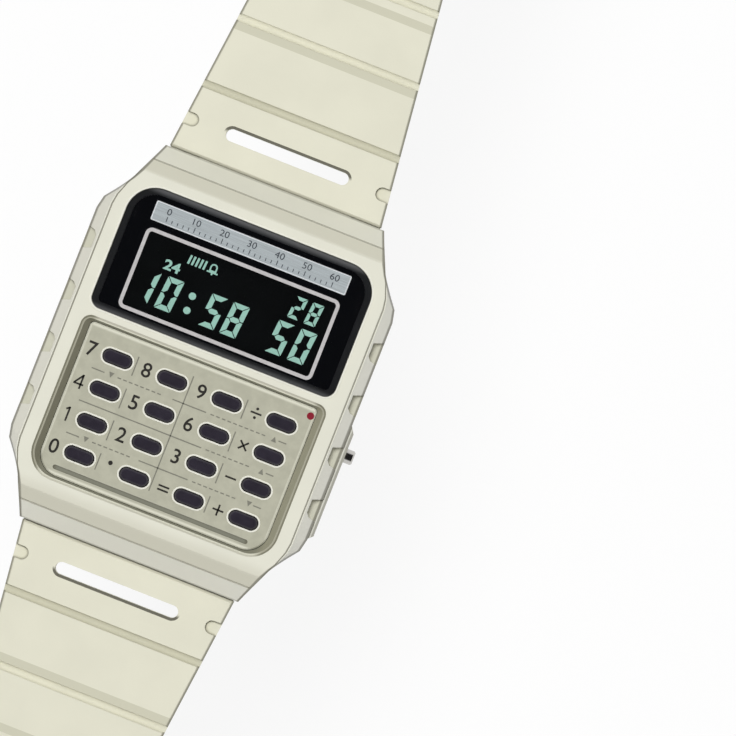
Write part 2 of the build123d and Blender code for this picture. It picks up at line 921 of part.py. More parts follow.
# Module housing, with a pocket for each thing that it holds
housing = plate(-board_x, board_x, -board_y, board_y, housing_low, board_low, board_r, board_r)
housing -= rod_z(
    battery_radius + battery_clearance, housing_low - cut, battery_top + battery_head, 0, battery_y
)
housing -= block(
    chip_x - chip_half - part_clearance, chip_x + chip_half + part_clearance,
    free_middle - chip_half - part_clearance, free_middle + chip_half + part_clearance,
    chip_low - part_clearance, board_low + cut,
)
housing -= block(
    can_x - can_length / 2 - part_clearance, can_x + can_length / 2 + part_clearance,
    can_y - can_radius - part_clearance, can_y + can_radius + part_clearance,
    board_low - 2 * can_radius - part_clearance, board_low + cut,
)
capacitor_x1 = capacitor_x + capacitor_pitch * (capacitor_count - 1) + capacitor_width
housing -= block(
    capacitor_x - part_clearance, capacitor_x1 + part_clearance,
    capacitor_y - capacitor_length / 2 - part_clearance, capacitor_y + capacitor_length / 2 + part_clearance,
    board_low - capacitor_height - part_clearance, board_low + cut,
)
buzzer_hole = buzzer_spring_radius + buzzer_spring_wire + buzzer_hole_clearance
housing -= rod_z(buzzer_hole, housing_low - cut, board_low + cut, buzzer_spring_x, buzzer_spring_y)
notch_half = pusher_clip_radius + part_clearance
for side, leaf_face in leaf_faces.items():
    notch_x = leaf_face - leaf_thickness - part_clearance
    x0, x1 = sorted((side * notch_x, side * (board_x + cut)))
    housing -= block(
        x0, x1, pusher_y - notch_half, pusher_y + notch_half, pusher_z - notch_half, board_low + cut
    )
module_screw_x = board_x - module_screw_edge
clip_y = battery_y - clip_drop_y
for side in (1, -1):
    housing -= rod_z(
        module_screw_radius + fixed_clearance, housing_low - cut,
        housing_low + module_screw_length + fixed_clearance, side * module_screw_x, clip_y,
    )
for x in (board_x - foot_inset, foot_inset - board_x):
    for y in (board_y - 2 * foot_inset, 2 * foot_inset - board_y):
        housing += rod_z(foot_radius, back_top, housing_low, x, y)
save(housing, "module_housing")

# Battery clip and the screws that hold it
clip_low = housing_low - clip_thickness
clip_x = board_x - clip_end_gap
clip = block(-clip_x, clip_x, clip_y - clip_width / 2, clip_y + clip_width / 2, clip_low, housing_low)
module_screws = Part()
for side in (1, -1):
    sx = side * module_screw_x
    clip -= rod_z(module_screw_radius + fixed_clearance, clip_low - cut, housing_low + cut, sx, clip_y)
    screw = rod_z(
        module_screw_head_radius, clip_low - module_screw_head_height, clip_low, sx, clip_y
    )
    screw += rod_z(module_screw_radius, clip_low, housing_low + module_screw_length, sx, clip_y)
    module_screws += screw
save(clip, "battery_clip")
save(module_screws, "module_screws")

# Case back, gasket and case back screws
back_x = cavity_half_x + back_rim_x
back_y = cavity_half_y + back_rim_y
back = plate(-back_x, back_x, -back_y, back_y, 0, back_top, back_corner, back_corner)
back = chamfer(low_edges(back), back_edge_chamfer)
case_screws = Part()
for sx, sy in screw_places():
    hole = rod_z(case_screw_radius + fixed_clearance, -cut, back_top + cut, sx, sy)
    head_hole = case_screw_head_radius + fixed_clearance
    hole += rod_z(head_hole, -cut, case_screw_head_height, sx, sy)
    back -= hole
    screw = rod_z(case_screw_head_radius, fixed_clearance, case_screw_head_height, sx, sy)
    shank_top = case_screw_head_height + case_screw_length
    screw += rod_z(case_screw_radius, case_screw_head_height, shank_top, sx, sy)
    slot_z = fixed_clearance + screw_slot_depth
    slot_half = case_screw_head_radius - screw_slot_width
    wide = screw_slot_width / 2
    screw -= block(sx - slot_half, sx + slot_half, sy - wide, sy + wide, -cut, slot_z)
    screw -= block(sx - wide, sx + wide, sy - slot_half, sy + slot_half, -cut, slot_z)
    case_screws += screw
save(back, "case_back")
save(case_screws, "case_back_screws")
save(gasket_ring(gasket_gap + gasket_clearance, gasket_width, gasket_height), "case_back_gasket")

# Piezo disc on the case back, and the spring that feeds it
piezo = rod_z(piezo_radius, back_top, back_top + piezo_thickness, 0, piezo_y)
piezo_face = back_top + piezo_thickness
piezo += rod_z(ceramic_radius, piezo_face, piezo_face + ceramic_thickness, 0, piezo_y)
save(piezo, "piezo_disc")
spring_length = board_low - piezo_face - 2 * spring_gap
buzzer_spring = coil(buzzer_spring_radius, buzzer_spring_wire, spring_length, buzzer_spring_turns)
save(Pos(buzzer_spring_x, buzzer_spring_y, piezo_face + spring_gap) * buzzer_spring, "buzzer_spring")


# Pushers: each is a headed stem held by a clip inside the case, with a spring and a seal
def pusher(side, face):
    """One steel pusher, with a neck for its clip."""
    clip_out = cavity_half_x - pusher_clip_gap
    clip_in = clip_out - pusher_clip_thickness
    head = rod_x(pusher_radius, side * pusher_back, side * face, pusher_y, pusher_z)
    rim = head.faces().sort_by(Axis.X)[-1 if side > 0 else 0].edges()
    head = chamfer(rim, pusher_edge)
    stem = rod_x(pusher_stem_radius, side * tip_x, side * pusher_back, pusher_y, pusher_z)
    neck = rod_x(pusher_stem_radius + cut, side * clip_in, side * clip_out, pusher_y, pusher_z)
    neck -= rod_x(
        pusher_stem_radius - pusher_clip_neck, side * clip_in, side * clip_out, pusher_y, pusher_z
    )
    return head + stem - neck


def pusher_clip(side):
    """The open ring that keeps a pusher from coming out."""
    clip_out = side * (cavity_half_x - pusher_clip_gap)
    clip_in = clip_out - side * pusher_clip_thickness
    ring = rod_x(pusher_clip_radius, clip_in, clip_out, pusher_y, pusher_z)
    neck_radius = pusher_stem_radius - pusher_clip_neck
    ring -= rod_x(neck_radius, clip_in, clip_out, pusher_y, pusher_z)
    x0, x1 = sorted((clip_in, clip_out))
    mouth = block(
        x0, x1, pusher_y - neck_radius, pusher_y + neck_radius, pusher_z - pusher_clip_radius - cut, pusher_z
    )
    return ring - mouth


def pusher_spring(side):
    """The return spring between a pusher's head and the step in its bore."""
    middle_radius = (pusher_radius + pusher_stem_radius) / 2
    length = pusher_spring_length - 2 * spring_gap
    spring = coil(middle_radius, pusher_spring_wire, length, pusher_spring_turns)
    turned = Rot(0, 90 * side, 0) * spring
    return Pos(side * (pusher_seat + spring_gap), pusher_y, pusher_z) * turned


def pusher_seal(side):
    """The rubber ring round a pusher's stem."""
    low = side * (seal_middle - seal_width / 2 + seal_clearance)
    high = side * (seal_middle + seal_width / 2 - seal_clearance)
    ring = rod_x(seal_radius - seal_clearance, low, high, pusher_y, pusher_z)
    return ring - rod_x(pusher_stem_radius + seal_clearance, low, high, pusher_y, pusher_z)


save(pusher(1, guard_face + mode_proud), "mode_pusher")
save(pusher(-1, case_half_x - adjust_recess), "adjust_pusher")
save(pusher_clip(1), "mode_pusher_clip")
save(pusher_clip(-1), "adjust_pusher_clip")
save(Part() + pusher_spring(1) + pusher_spring(-1), "pusher_springs")
save(Part() + pusher_seal(1) + pusher_seal(-1), "pusher_seals")


# Spring bars: a tube, a spring and two sprung tips at each end of the case
def bar_tube(side):
    """The tube that the strap turns on."""
    half = pocket_half_x - tip_flange_gap - tip_flange_thickness - tip_travel - tip_stop_gap
    tube = rod_x(bar_radius, -half, half, side * bar_y, bar_z)
    return tube - rod_x(bar_bore_radius, -half - cut, half + cut, side * bar_y, bar_z)


def bar_tip(end, side):
    """A tip: a pivot in the lug, a flange outside the tube and a stem inside it."""
    y = side * bar_y
    flange_out = pocket_half_x - tip_flange_gap
    flange_in = flange_out - tip_flange_thickness
    pivot = rod_x(tip_radius, end * flange_out, end * (pocket_half_x + tip_reach), y, bar_z)
    flange = rod_x(bar_radius, end * flange_in, end * flange_out, y, bar_z)
    stem_in = flange_in - tip_stem_length
    stem = rod_x(bar_bore_radius - tip_stem_clearance, end * stem_in, end * flange_in, y, bar_z)
    return pivot + flange + stem


def bar_spring(side):
    """The spring between the two stems of a bar."""
    half = pocket_half_x - tip_flange_gap - tip_flange_thickness - tip_stem_length - spring_gap
    radius = bar_bore_radius - tip_stem_clearance - bar_spring_wire
    turns = 2 * half / bar_spring_pitch
    spring = coil(radius, bar_spring_wire, 2 * half, turns)
    return Pos(-half, side * bar_y, bar_z) * (Rot(0, 90, 0) * spring)


save(Part() + bar_tube(1) + bar_tube(-1), "spring_bar_tubes")
save(Part() + bar_spring(1) + bar_spring(-1), "spring_bar_springs")
save(bar_tip(1, 1), "upper_bar_tip_right")
save(bar_tip(-1, 1), "upper_bar_tip_left")
save(bar_tip(1, -1), "lower_bar_tip_right")
save(bar_tip(-1, -1), "lower_bar_tip_left")

# Strap halves: each is an outline seen from above, cut to a side profile
strap_root = case_half_y + strap_gap
strap_root_half = lug_half_x - strap_lug_inset
strap_end_half = strap_end_width / 2
taper_end = strap_root + strap_taper_length
pin_y = bar_y + buckle_half_length
tip_y = bar_y + hole_half_length
buckle_low = keeper_wall + keeper_low_clearance
pin_z = buckle_low + strap_thickness / 2
groove_pitch = segment_length + segment_groove_width
slot_y = strap_root + slot_from_end


def taper_share(y):
    """How far along the strap's taper a place lies, from 0 at the case to 1."""
    return (y - strap_root) / strap_taper_length


def strap_half_width(y):
    """Half the strap's width at a place along its taper."""
    return strap_root_half + (strap_end_half - strap_root_half) * taper_share(y)


def strap_top(y, low):
    """The level of the strap's top at a place along its taper."""
    return strap_root_top + (low + strap_thickness - strap_root_top) * taper_share(y)


def strap_blank(low, end_y, end_corner):
    """The strap's outline and side profile, with its top edges softened."""
    outline = [
        (strap_root_half, strap_root),
        (strap_end_half, taper_end),
        (strap_end_half, end_y),
        (-strap_end_half, end_y),
        (-strap_end_half, taper_end),
        (-strap_root_half, strap_root),
    ]
    radii = [0, strap_taper_length, end_corner, end_corner, strap_taper_length, 0]
    line = FilletPolyline(*outline, radius=radii, close=True)
    seen_from_above = raised(make_face(line), -cut, strap_root_top + cut)
    top = low + strap_thickness
    profile = [
        (strap_root, strap_root_low),
        (taper_end, low),
        (end_y, low),
        (end_y, top),
        (taper_end, top),
        (strap_root, strap_root_top),
    ]
    blank = seen_from_above & side_prism(profile, -case_half_x, case_half_x)
    upper_faces = [face for face in blank.faces() if face.normal_at().Z > slope_limit_share]
    counted = {}
    for face in upper_faces:
        for edge in face.edges():
            counted.setdefault(tuple(edge @ 0.5), []).append(edge)
    outer = [edges[0] for edges in counted.values() if len(edges) == 1]
    return chamfer(outer, strap_edge_chamfer)


def strap_half(low, end_y, end_corner):
    """One half: its blank, grooves, slot and edge notches, and the tongue on the spring bar."""
    strap = strap_blank(low, end_y, end_corner)
    for index in range(segment_count):
        y = strap_root + segment_length + groove_pitch * index + segment_groove_width / 2
        level = strap_top(y, low) + segment_groove_width / 2 - segment_groove_depth
        strap -= rod_x(segment_groove_width / 2, -case_half_x, case_half_x, y, level)
        strap -= block(
            -case_half_x, case_half_x, y - segment_groove_width / 2, y + segment_groove_width / 2,
            level, level + cut,
        )
    strap -= pill(0, slot_y, slot_length, slot_width, -cut, strap_root_top + cut)
    edge_x = strap_half_width(slot_y)
    notch_length = notch_depth + notch_width
    notch_x = edge_x - notch_depth + notch_length / 2
    notch_floor = strap_top(slot_y, low) - notch_sink
    for side in (1, -1):
        strap -= pill(side * notch_x, slot_y, notch_length, notch_width, notch_floor, strap_root_top + cut)
    hub_low = bar_z - tongue_radius
    strap += rod_x(tongue_radius, -tongue_half_x, tongue_half_x, bar_y, bar_z)
    strap += block(
        -tongue_half_x, tongue_half_x, bar_y, strap_root + tongue_clearance, hub_low,
        bar_z + tongue_neck_top,
    )
    return strap - rod_x(bar_radius + bar_clearance, -case_half_x, case_half_x, bar_y, bar_z)


# The half at 12 o'clock carries the buckle: its end is a loop round the pin
slot_half = buckle_tongue_width / 2 + tongue_slot_clearance
buckle_half = strap_half(buckle_low, pin_y, 0)
buckle_half += rod_x(strap_loop_radius, -strap_end_half, strap_end_half, pin_y, pin_z)
buckle_half -= rod_x(pin_radius + pin_clearance, -case_half_x, case_half_x, pin_y, pin_z)
buckle_half -= block(
    -slot_half, slot_half, pin_y - tongue_slot_reach, pin_y + strap_loop_radius + cut,
    buckle_low - cut, pin_z + strap_loop_radius + cut,
)
save(buckle_half, "strap_buckle_half")

# The half at 6 o'clock has the holes, in a shallow channel
hole_half = strap_half(0, tip_y, strap_tip_corner)
hole_last = tip_y - strap_hole_from_tip
hole_first = hole_last - strap_hole_pitch * (strap_hole_count - 1)
channel_y = (hole_first + hole_last) / 2
channel_length = hole_last - hole_first + 2 * strap_channel_margin
channel_shape = Rot(0, 0, 90) * SlotOverall(channel_length, strap_channel_width)
channel_low = strap_thickness - strap_channel_depth
hole_half -= raised(Pos(0, channel_y) * channel_shape, channel_low, strap_thickness + cut)
for index in range(strap_hole_count):
    y = hole_first + strap_hole_pitch * index
    hole_half -= rod_z(strap_hole_radius, -cut, strap_thickness + cut, 0, y)
save(mirror(hole_half, about=Plane.XZ), "strap_hole_half")

# Keeper: a loop that slides along the buckle half, tall enough for both halves
keeper_y = pin_y - keeper_from_pin
keeper_in_x = strap_end_half + keeper_side_clearance
keeper_in_top = buckle_low + 2 * strap_thickness + keeper_spare_height
keeper_x = keeper_in_x + keeper_wall
keeper_y0 = keeper_y - keeper_length / 2
keeper_y1 = keeper_y + keeper_length / 2
keeper = block(-keeper_x, keeper_x, keeper_y0, keeper_y1, 0, keeper_in_top + keeper_wall)
keeper = fillet(keeper.edges().filter_by(Axis.Y), keeper_corner)
keeper -= block(-keeper_in_x, keeper_in_x, keeper_y0 - cut, keeper_y1 + cut, keeper_wall, keeper_in_top)
save(keeper, "strap_keeper")

# Buckle: a steel frame on a pin through the strap's loop, and a tongue that rests on its bar
frame_in_x = strap_end_half + frame_inner_clearance
frame_x = frame_in_x + frame_arm_width
frame_bar_y = pin_y + frame_reach
frame_end_y = frame_bar_y + frame_bar_length
frame_profile = [
    (pin_y, pin_z - frame_arm_radius),
    (frame_bar_y, 0),
    (frame_end_y, 0),
    (frame_end_y, frame_bar_top),
    (frame_bar_y, frame_bar_top),
    (pin_y, pin_z + frame_arm_radius),
]
frame = side_prism(frame_profile, -frame_x, frame_x)
frame += rod_x(frame_arm_radius, -frame_x, frame_x, pin_y, pin_z)
frame_top = pin_z + frame_arm_radius
frame_plan_y0 = pin_y - frame_arm_radius
frame = frame & plate(
    -frame_x, frame_x, frame_plan_y0 - cut, frame_end_y, -cut, frame_top + cut, pin_radius, frame_corner
)
frame -= plate(
    -frame_in_x, frame_in_x, frame_plan_y0 - 2 * cut, frame_bar_y, -cut, frame_top + cut,
    pin_radius, pin_radius,
)
frame_notch_x = buckle_tongue_width / 2 + frame_notch_clearance
tongue_rest = frame_bar_top - frame_notch_depth
frame -= block(
    -frame_notch_x, frame_notch_x, frame_bar_y - cut, frame_end_y + cut, tongue_rest,
    frame_bar_top + cut,
)
pin_half = frame_x - pin_end_inset
pin_hole_half = pin_half + fixed_clearance
frame -= rod_x(pin_radius + fixed_clearance, -pin_hole_half, pin_hole_half, pin_y, pin_z)
save(frame, "buckle_frame")
save(rod_x(pin_radius, -pin_half, pin_half, pin_y, pin_z), "buckle_pin")

tongue_low = tongue_rest + buckle_tongue_gap
tongue_profile = [
    (pin_y, pin_z),
    (frame_bar_y, tongue_low),
    (frame_end_y, tongue_low),
    (frame_end_y, tongue_low + buckle_tongue_thickness * tongue_tip_share),
    (frame_bar_y, tongue_low + buckle_tongue_thickness),
    (pin_y, pin_z + buckle_tongue_eye_radius),
]
tongue_x = buckle_tongue_width / 2
buckle_tongue = side_prism(tongue_profile, -tongue_x, tongue_x)
buckle_tongue += rod_x(buckle_tongue_eye_radius, -tongue_x, tongue_x, pin_y, pin_z)
buckle_tongue -= rod_x(pin_radius + pin_clearance, -tongue_x - cut, tongue_x + cut, pin_y, pin_z)
save(buckle_tongue, "buckle_tongue")
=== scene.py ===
"""The looks of a calculator wristwatch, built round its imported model."""

import math

import bmesh
import bpy
from bpy.props import FloatProperty, FloatVectorProperty, PointerProperty
from mathutils import Matrix, Vector


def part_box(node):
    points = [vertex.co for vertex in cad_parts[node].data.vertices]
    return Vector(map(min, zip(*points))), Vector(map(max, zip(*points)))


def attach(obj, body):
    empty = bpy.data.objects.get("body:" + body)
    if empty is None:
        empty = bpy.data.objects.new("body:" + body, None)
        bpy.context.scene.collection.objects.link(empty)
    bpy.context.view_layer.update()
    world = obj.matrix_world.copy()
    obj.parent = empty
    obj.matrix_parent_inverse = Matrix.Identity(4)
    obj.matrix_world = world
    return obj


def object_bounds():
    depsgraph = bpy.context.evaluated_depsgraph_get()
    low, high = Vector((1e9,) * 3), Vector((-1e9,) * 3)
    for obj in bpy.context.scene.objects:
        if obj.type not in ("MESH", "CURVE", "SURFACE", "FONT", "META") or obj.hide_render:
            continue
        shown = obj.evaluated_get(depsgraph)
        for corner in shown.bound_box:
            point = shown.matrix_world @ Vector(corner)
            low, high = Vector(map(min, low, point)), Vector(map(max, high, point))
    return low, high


bl_info = {
    "name": "Calculator watch",
    "version": (1, 0, 0),
    "blender": (4, 5, 0),
    "location": "View3D > Sidebar > Watch",
    "description": "Dresses the calculator watch in its finishes, prints and display",
    "category": "Object",
}

MM = 0.001

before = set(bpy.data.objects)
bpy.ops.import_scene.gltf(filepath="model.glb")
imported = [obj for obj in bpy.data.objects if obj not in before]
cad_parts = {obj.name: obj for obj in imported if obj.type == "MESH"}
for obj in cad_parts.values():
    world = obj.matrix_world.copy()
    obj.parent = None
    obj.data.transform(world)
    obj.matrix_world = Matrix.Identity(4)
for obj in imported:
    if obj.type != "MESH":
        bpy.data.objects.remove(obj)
cad_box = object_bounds()
keys = sorted(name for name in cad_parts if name.startswith("key_"))


def linear(red, green, blue):
    """A colour given as on a screen, from 0 to 255, as the renderer's own linear values."""
    shares = [channel / 255 for channel in (red, green, blue)]
    return tuple(s / 12.92 if s < 0.04045 else ((s + 0.055) / 1.055) ** 2.4 for s in shares)


# Sizes and colours that a user would change

def length(label, note, millimetres):
    return FloatProperty(name=label, description=note, default=millimetres * MM, unit="LENGTH")


def colour(label, note, red, green, blue):
    shade = linear(red, green, blue)
    return FloatVectorProperty(
        name=label, description=note, default=shade, subtype="COLOR", size=3, min=0, max=1
    )


class WatchSizes(bpy.types.PropertyGroup):
    """Sizes of the prints, lines and beads that dress the watch."""

    print_height: length("Print height", "How far printed ink stands proud of its surface", 0.02)
    legend_height: length("Legend height", "Height of the figures beside the keys", 1.62)
    legend_gap: length("Legend gap", "From a key's centre to the middle of its figure", 2.95)
    legend_stroke: length("Legend stroke", "Width of a stroke of the arithmetic signs", 0.2)
    rule_width: length("Rule width", "Width of the thin rules between the keys", 0.13)
    key_lip: length("Key lip", "Width of the raised lip round each key hole", 0.2)
    key_gap: length("Key gap", "From a key's side to its hole's lip", 0.1)
    lip_height: length("Lip height", "How far a lip stands proud", 0.1)
    panel_edge: length("Panel edge", "Width of the pale band along the keypad panel's edge", 0.36)
    crystal_lip: length("Crystal lip", "Width of the pale edge round the crystal", 0.2)
    crystal_low: length("Crystal lower corner", "Radius of the crystal's lower corners", 1.2)
    crystal_high: length("Crystal upper corner", "Radius of the crystal's upper corners", 3.3)
    border: length("Crystal border", "Width of the black print under the crystal's rim", 0.72)
    frame_line: length("Frame line", "Width of the pale line round the display", 0.4)
    frame_corner: length("Frame corner", "Outer corner radius of the pale line", 0.75)
    strip_edge: length("Strip edge", "Width of the bright edge round the silver strip", 0.13)
    tray_side: length("Tray side", "From the keypad panel's side to the tray's rim", 1.05)
    tray_end: length("Tray end", "From the keypad panel's ends to the tray's rim", 0.6)
    tray_depth: length("Tray depth", "From the bezel down to the panel's face", 0.8)
    tray_step: length("Tray step", "From the bezel down to the tray's ledge", 0.25)
    facet_start: length("Facet start", "From the watch's middle to its end facets", 18.25)
    facet_bend: length("Facet bend", "From the watch's middle to the bend in its facets", 19.7)
    flank_drop: length("Flank drop", "From the bezel down to the flanks' lower edge", 2.4)
    case_line: length("Case line", "Width of the shaded line on the case's outline", 0.32)
    grip_reach: length("Grip reach", "From the middle to the grip recesses' inner ends", 16.1)
    strap_root: length("Strap root", "From the watch's middle to the strap's shoulder", 21.75)
    strap_taper: length("Strap taper", "Length of the strap's narrowing part", 29.3)
    strap_root_half: length("Strap root half", "Half the strap's width at its shoulder", 12.3)
    strap_end_half: length("Strap end half", "Half the strap's width beyond its taper", 9.0)
    strap_root_top: length("Strap root top", "Height of the strap's shoulder", 4.1)
    groove_pitch: length("Groove pitch", "From the shoulder to the first groove, and on", 7.15)
    groove_width: length("Groove width", "Width of the grooves across the strap", 0.9)
    slot_far: length("Slot far edge", "From the shoulder to the far edge of the strap's slot", 4.15)
    slot_half: length("Slot half", "Half the length of the straight part of the slot", 6.4)
    slot_round: length("Slot round", "Radius of the slot's ends", 0.7)
    window_side: length("Window side", "From the crystal's edge to the display window", 3.25)
    window_low: length("Window bottom", "From the crystal's lower edge to the window", 1.35)
    window_high: length("Window top", "From the crystal's upper edge to the window", 4.65)
    digit_height: length("Digit height", "Height of the large figures on the display", 3.7)
    digit_stroke: length("Digit stroke", "Width of a segment of the large figures", 0.56)
    small_height: length("Small digit height", "Height of the small figures", 2.5)
    small_stroke: length("Small digit stroke", "Width of a segment of the small figures", 0.38)
    segment_gap: length("Segment gap", "Gap between the segments of a figure", 0.06)
    dot_radius: length("Mode dot radius", "Radius of the red dot in the keypad's corner", 0.4)


class WatchColours(bpy.types.PropertyGroup):
    """Colours of the watch's finishes."""

    case: colour("Case", "Cream resin of the case", 225, 224, 209)
    strap: colour("Strap", "Cream resin of the strap", 224, 222, 203)
    strap_edge: colour("Strap edge", "Shaded edges of the strap", 132, 130, 113)
    strap_groove: colour("Strap grooves", "Floors of the grooves across the strap", 205, 203, 182)
    slot_rim: colour("Slot rim", "Shaded far rim of the strap's slot", 82, 80, 68)
    crease: colour("Creases", "Shade of the resin deep in its grooves and corners", 112, 109, 92)
    # The flanks' colour is a painted shade tone, about as light as the case's own
    flank: colour("Flanks", "Duller resin of the case's sloping flanks", 226, 224, 210)
    case_line: colour("Case line", "Shaded line on the case's outline", 136, 134, 121)
    # The grip recesses' colour is a painted shade on their floors
    grip: colour("Grip recesses", "Floors of the recesses in the flanks", 201, 200, 184)
    # The end facets' colour is a painted shade; it also darkens the bezel's lower end and the
    # tray's upper step at its ends
    facet: colour("End facets", "Duller resin of the facets beyond the bezel", 206, 204, 187)
    panel: colour("Keypad panel", "Warm grey plate that the keys come through", 181, 180, 162)
    panel_edge: colour("Panel edge", "Pale band along the panel's edge", 221, 220, 203)
    groove: colour("Panel groove", "Dark floor of the panel's groove", 141, 142, 129)
    # The tray's slopes are tan; their differences from side to side and end to end, and the darker
    # ledge beside the keypad, are painted shade
    tray_left: colour("Tray left", "Tray's slope left of the keypad", 112, 110, 92)
    tray_right: colour("Tray right", "Tray's slope right of the keypad", 144, 142, 121)
    tray_end: colour("Tray ends", "Tray's slopes above and below the keypad", 132, 131, 114)
    tray_step: colour("Tray step", "Tray's upper slope beside the keypad", 134, 132, 113)
    tray_ledge: colour("Tray ledge", "Ledge between the tray's two slopes", 212, 211, 194)
    side_ledge: colour("Side ledge", "The same ledge beside the keypad", 168, 166, 148)
    # The lips' pale colour is a painted highlight; it is also laid on the case's and panel's upper
    # edges and the right flank
    lip: colour("Lips", "Pale edges round the keys and the crystal", 234, 233, 221)
    key: colour("Keys", "Dark rubber of the keys", 45, 41, 51)
    legend: colour("Legends", "Figures and signs beside the keys", 48, 46, 43)
    rule: colour("Rules", "Thin rules between the keys", 128, 127, 116)
    mode_dot: colour("Mode dot", "Red dot in the keypad's corner", 140, 34, 50)
    mask: colour("Mask", "Black print round the display", 5, 6, 10)
    # The border's grey and its paler ends are a painted reflection of the crystal's bevel over
    # black print
    border: colour("Crystal border", "Black print under the crystal's rim", 22, 23, 26)
    border_end: colour("Border ends", "Paler upper and lower ends of the same print", 98, 98, 100)
    frame_line: colour("Frame line", "Pale line round the display", 206, 201, 201)
    strip: colour("Strip", "Brushed silver strip above the display", 190, 196, 199)
    strip_edge: colour("Strip edge", "Bright edge of the silver strip", 232, 234, 236)
    cell: colour("Display cell", "Dark ground of the display", 7, 9, 10)
    digits: colour("Display figures", "Lit figures of the display", 153, 196, 182)
    steel: colour("Steel", "Bright steel of the buckle and the pushers", 196, 194, 190)
    brass: colour("Brass", "Contact leaves of the switches", 214, 178, 104)
    board: colour("Circuit board", "Lacquer of the circuit board", 26, 92, 54)
    floor: colour("Floor", "Plain pale floor below the watch", 250, 250, 250)


# Node materials, written as expressions

def maths(operation, swapped=False):
    """A method that adds one Math node. An operator's reflected form has its terms swapped."""
    def method(self, other=0):
        first, second = (other, self) if swapped else (self, other)
        settings = {"operation": operation}
        return self.nodes.node("ShaderNodeMath", settings, {0: first, 1: second})
    return method


class Wire:
    """A socket in a node tree. Sums, products and the like on it add Math nodes."""

    def __init__(self, nodes, socket):
        self.nodes = nodes
        self.socket = socket

    __add__ = maths("ADD")
    __radd__ = maths("ADD", swapped=True)
    __sub__ = maths("SUBTRACT")
    __rsub__ = maths("SUBTRACT", swapped=True)
    __mul__ = maths("MULTIPLY")
    __rmul__ = maths("MULTIPLY", swapped=True)
    __gt__ = maths("GREATER_THAN")
    __lt__ = maths("LESS_THAN")
    __abs__ = maths("ABSOLUTE")
    # The larger of two, the smaller of two, and the square root of one
    over = maths("MAXIMUM")
    under = maths("MINIMUM")
    root = maths("SQRT")


class Nodes:
    """A node tree that nodes are added to."""

    def __init__(self, tree):
        self.tree = tree

    def feed(self, socket, value):
        """Gives a socket its link or value. A colour has three channels."""
        if isinstance(value, Wire):
            self.tree.links.new(value.socket, socket)
        else:
            socket.default_value = (*value, 1) if socket.type == "RGBA" else value

    def node(self, kind, settings, sockets, output=0):
        """Adds one node: its settings first, then its sockets' values or links."""
        made = self.tree.nodes.new(kind)
        for name, value in settings.items():
            setattr(made, name, value)
        for name, value in sockets.items():
            self.feed(made.inputs[name], value)
        return Wire(self, made.outputs[output])

    def ease(self, value, low, high, to_low, to_high):
        """A smooth change from one level at low to another at high, and flat beyond them."""
        sockets = {0: value, 1: low, 2: high, 3: to_low, 4: to_high}
        return self.node("ShaderNodeMapRange", {"interpolation_type": "SMOOTHSTEP"}, sockets)

    def rise(self, value, low, high, top=1):
        """From 0 at low up to top at high."""
        return self.ease(value, low, high, 0, top)

    def fall(self, value, low, high, top=1):
        """From top at low down to 0 at high."""
        return self.ease(value, low, high, top, 0)


# The middle part of a noise's values, where most of them lie
NOISE_LOW, NOISE_HIGH = 0.3, 0.7


def shades(tone, *shares):
    """A colour made darker or lighter by each of some shares."""
    return [tuple(min(1, channel * share) for channel in tone) for share in shares]


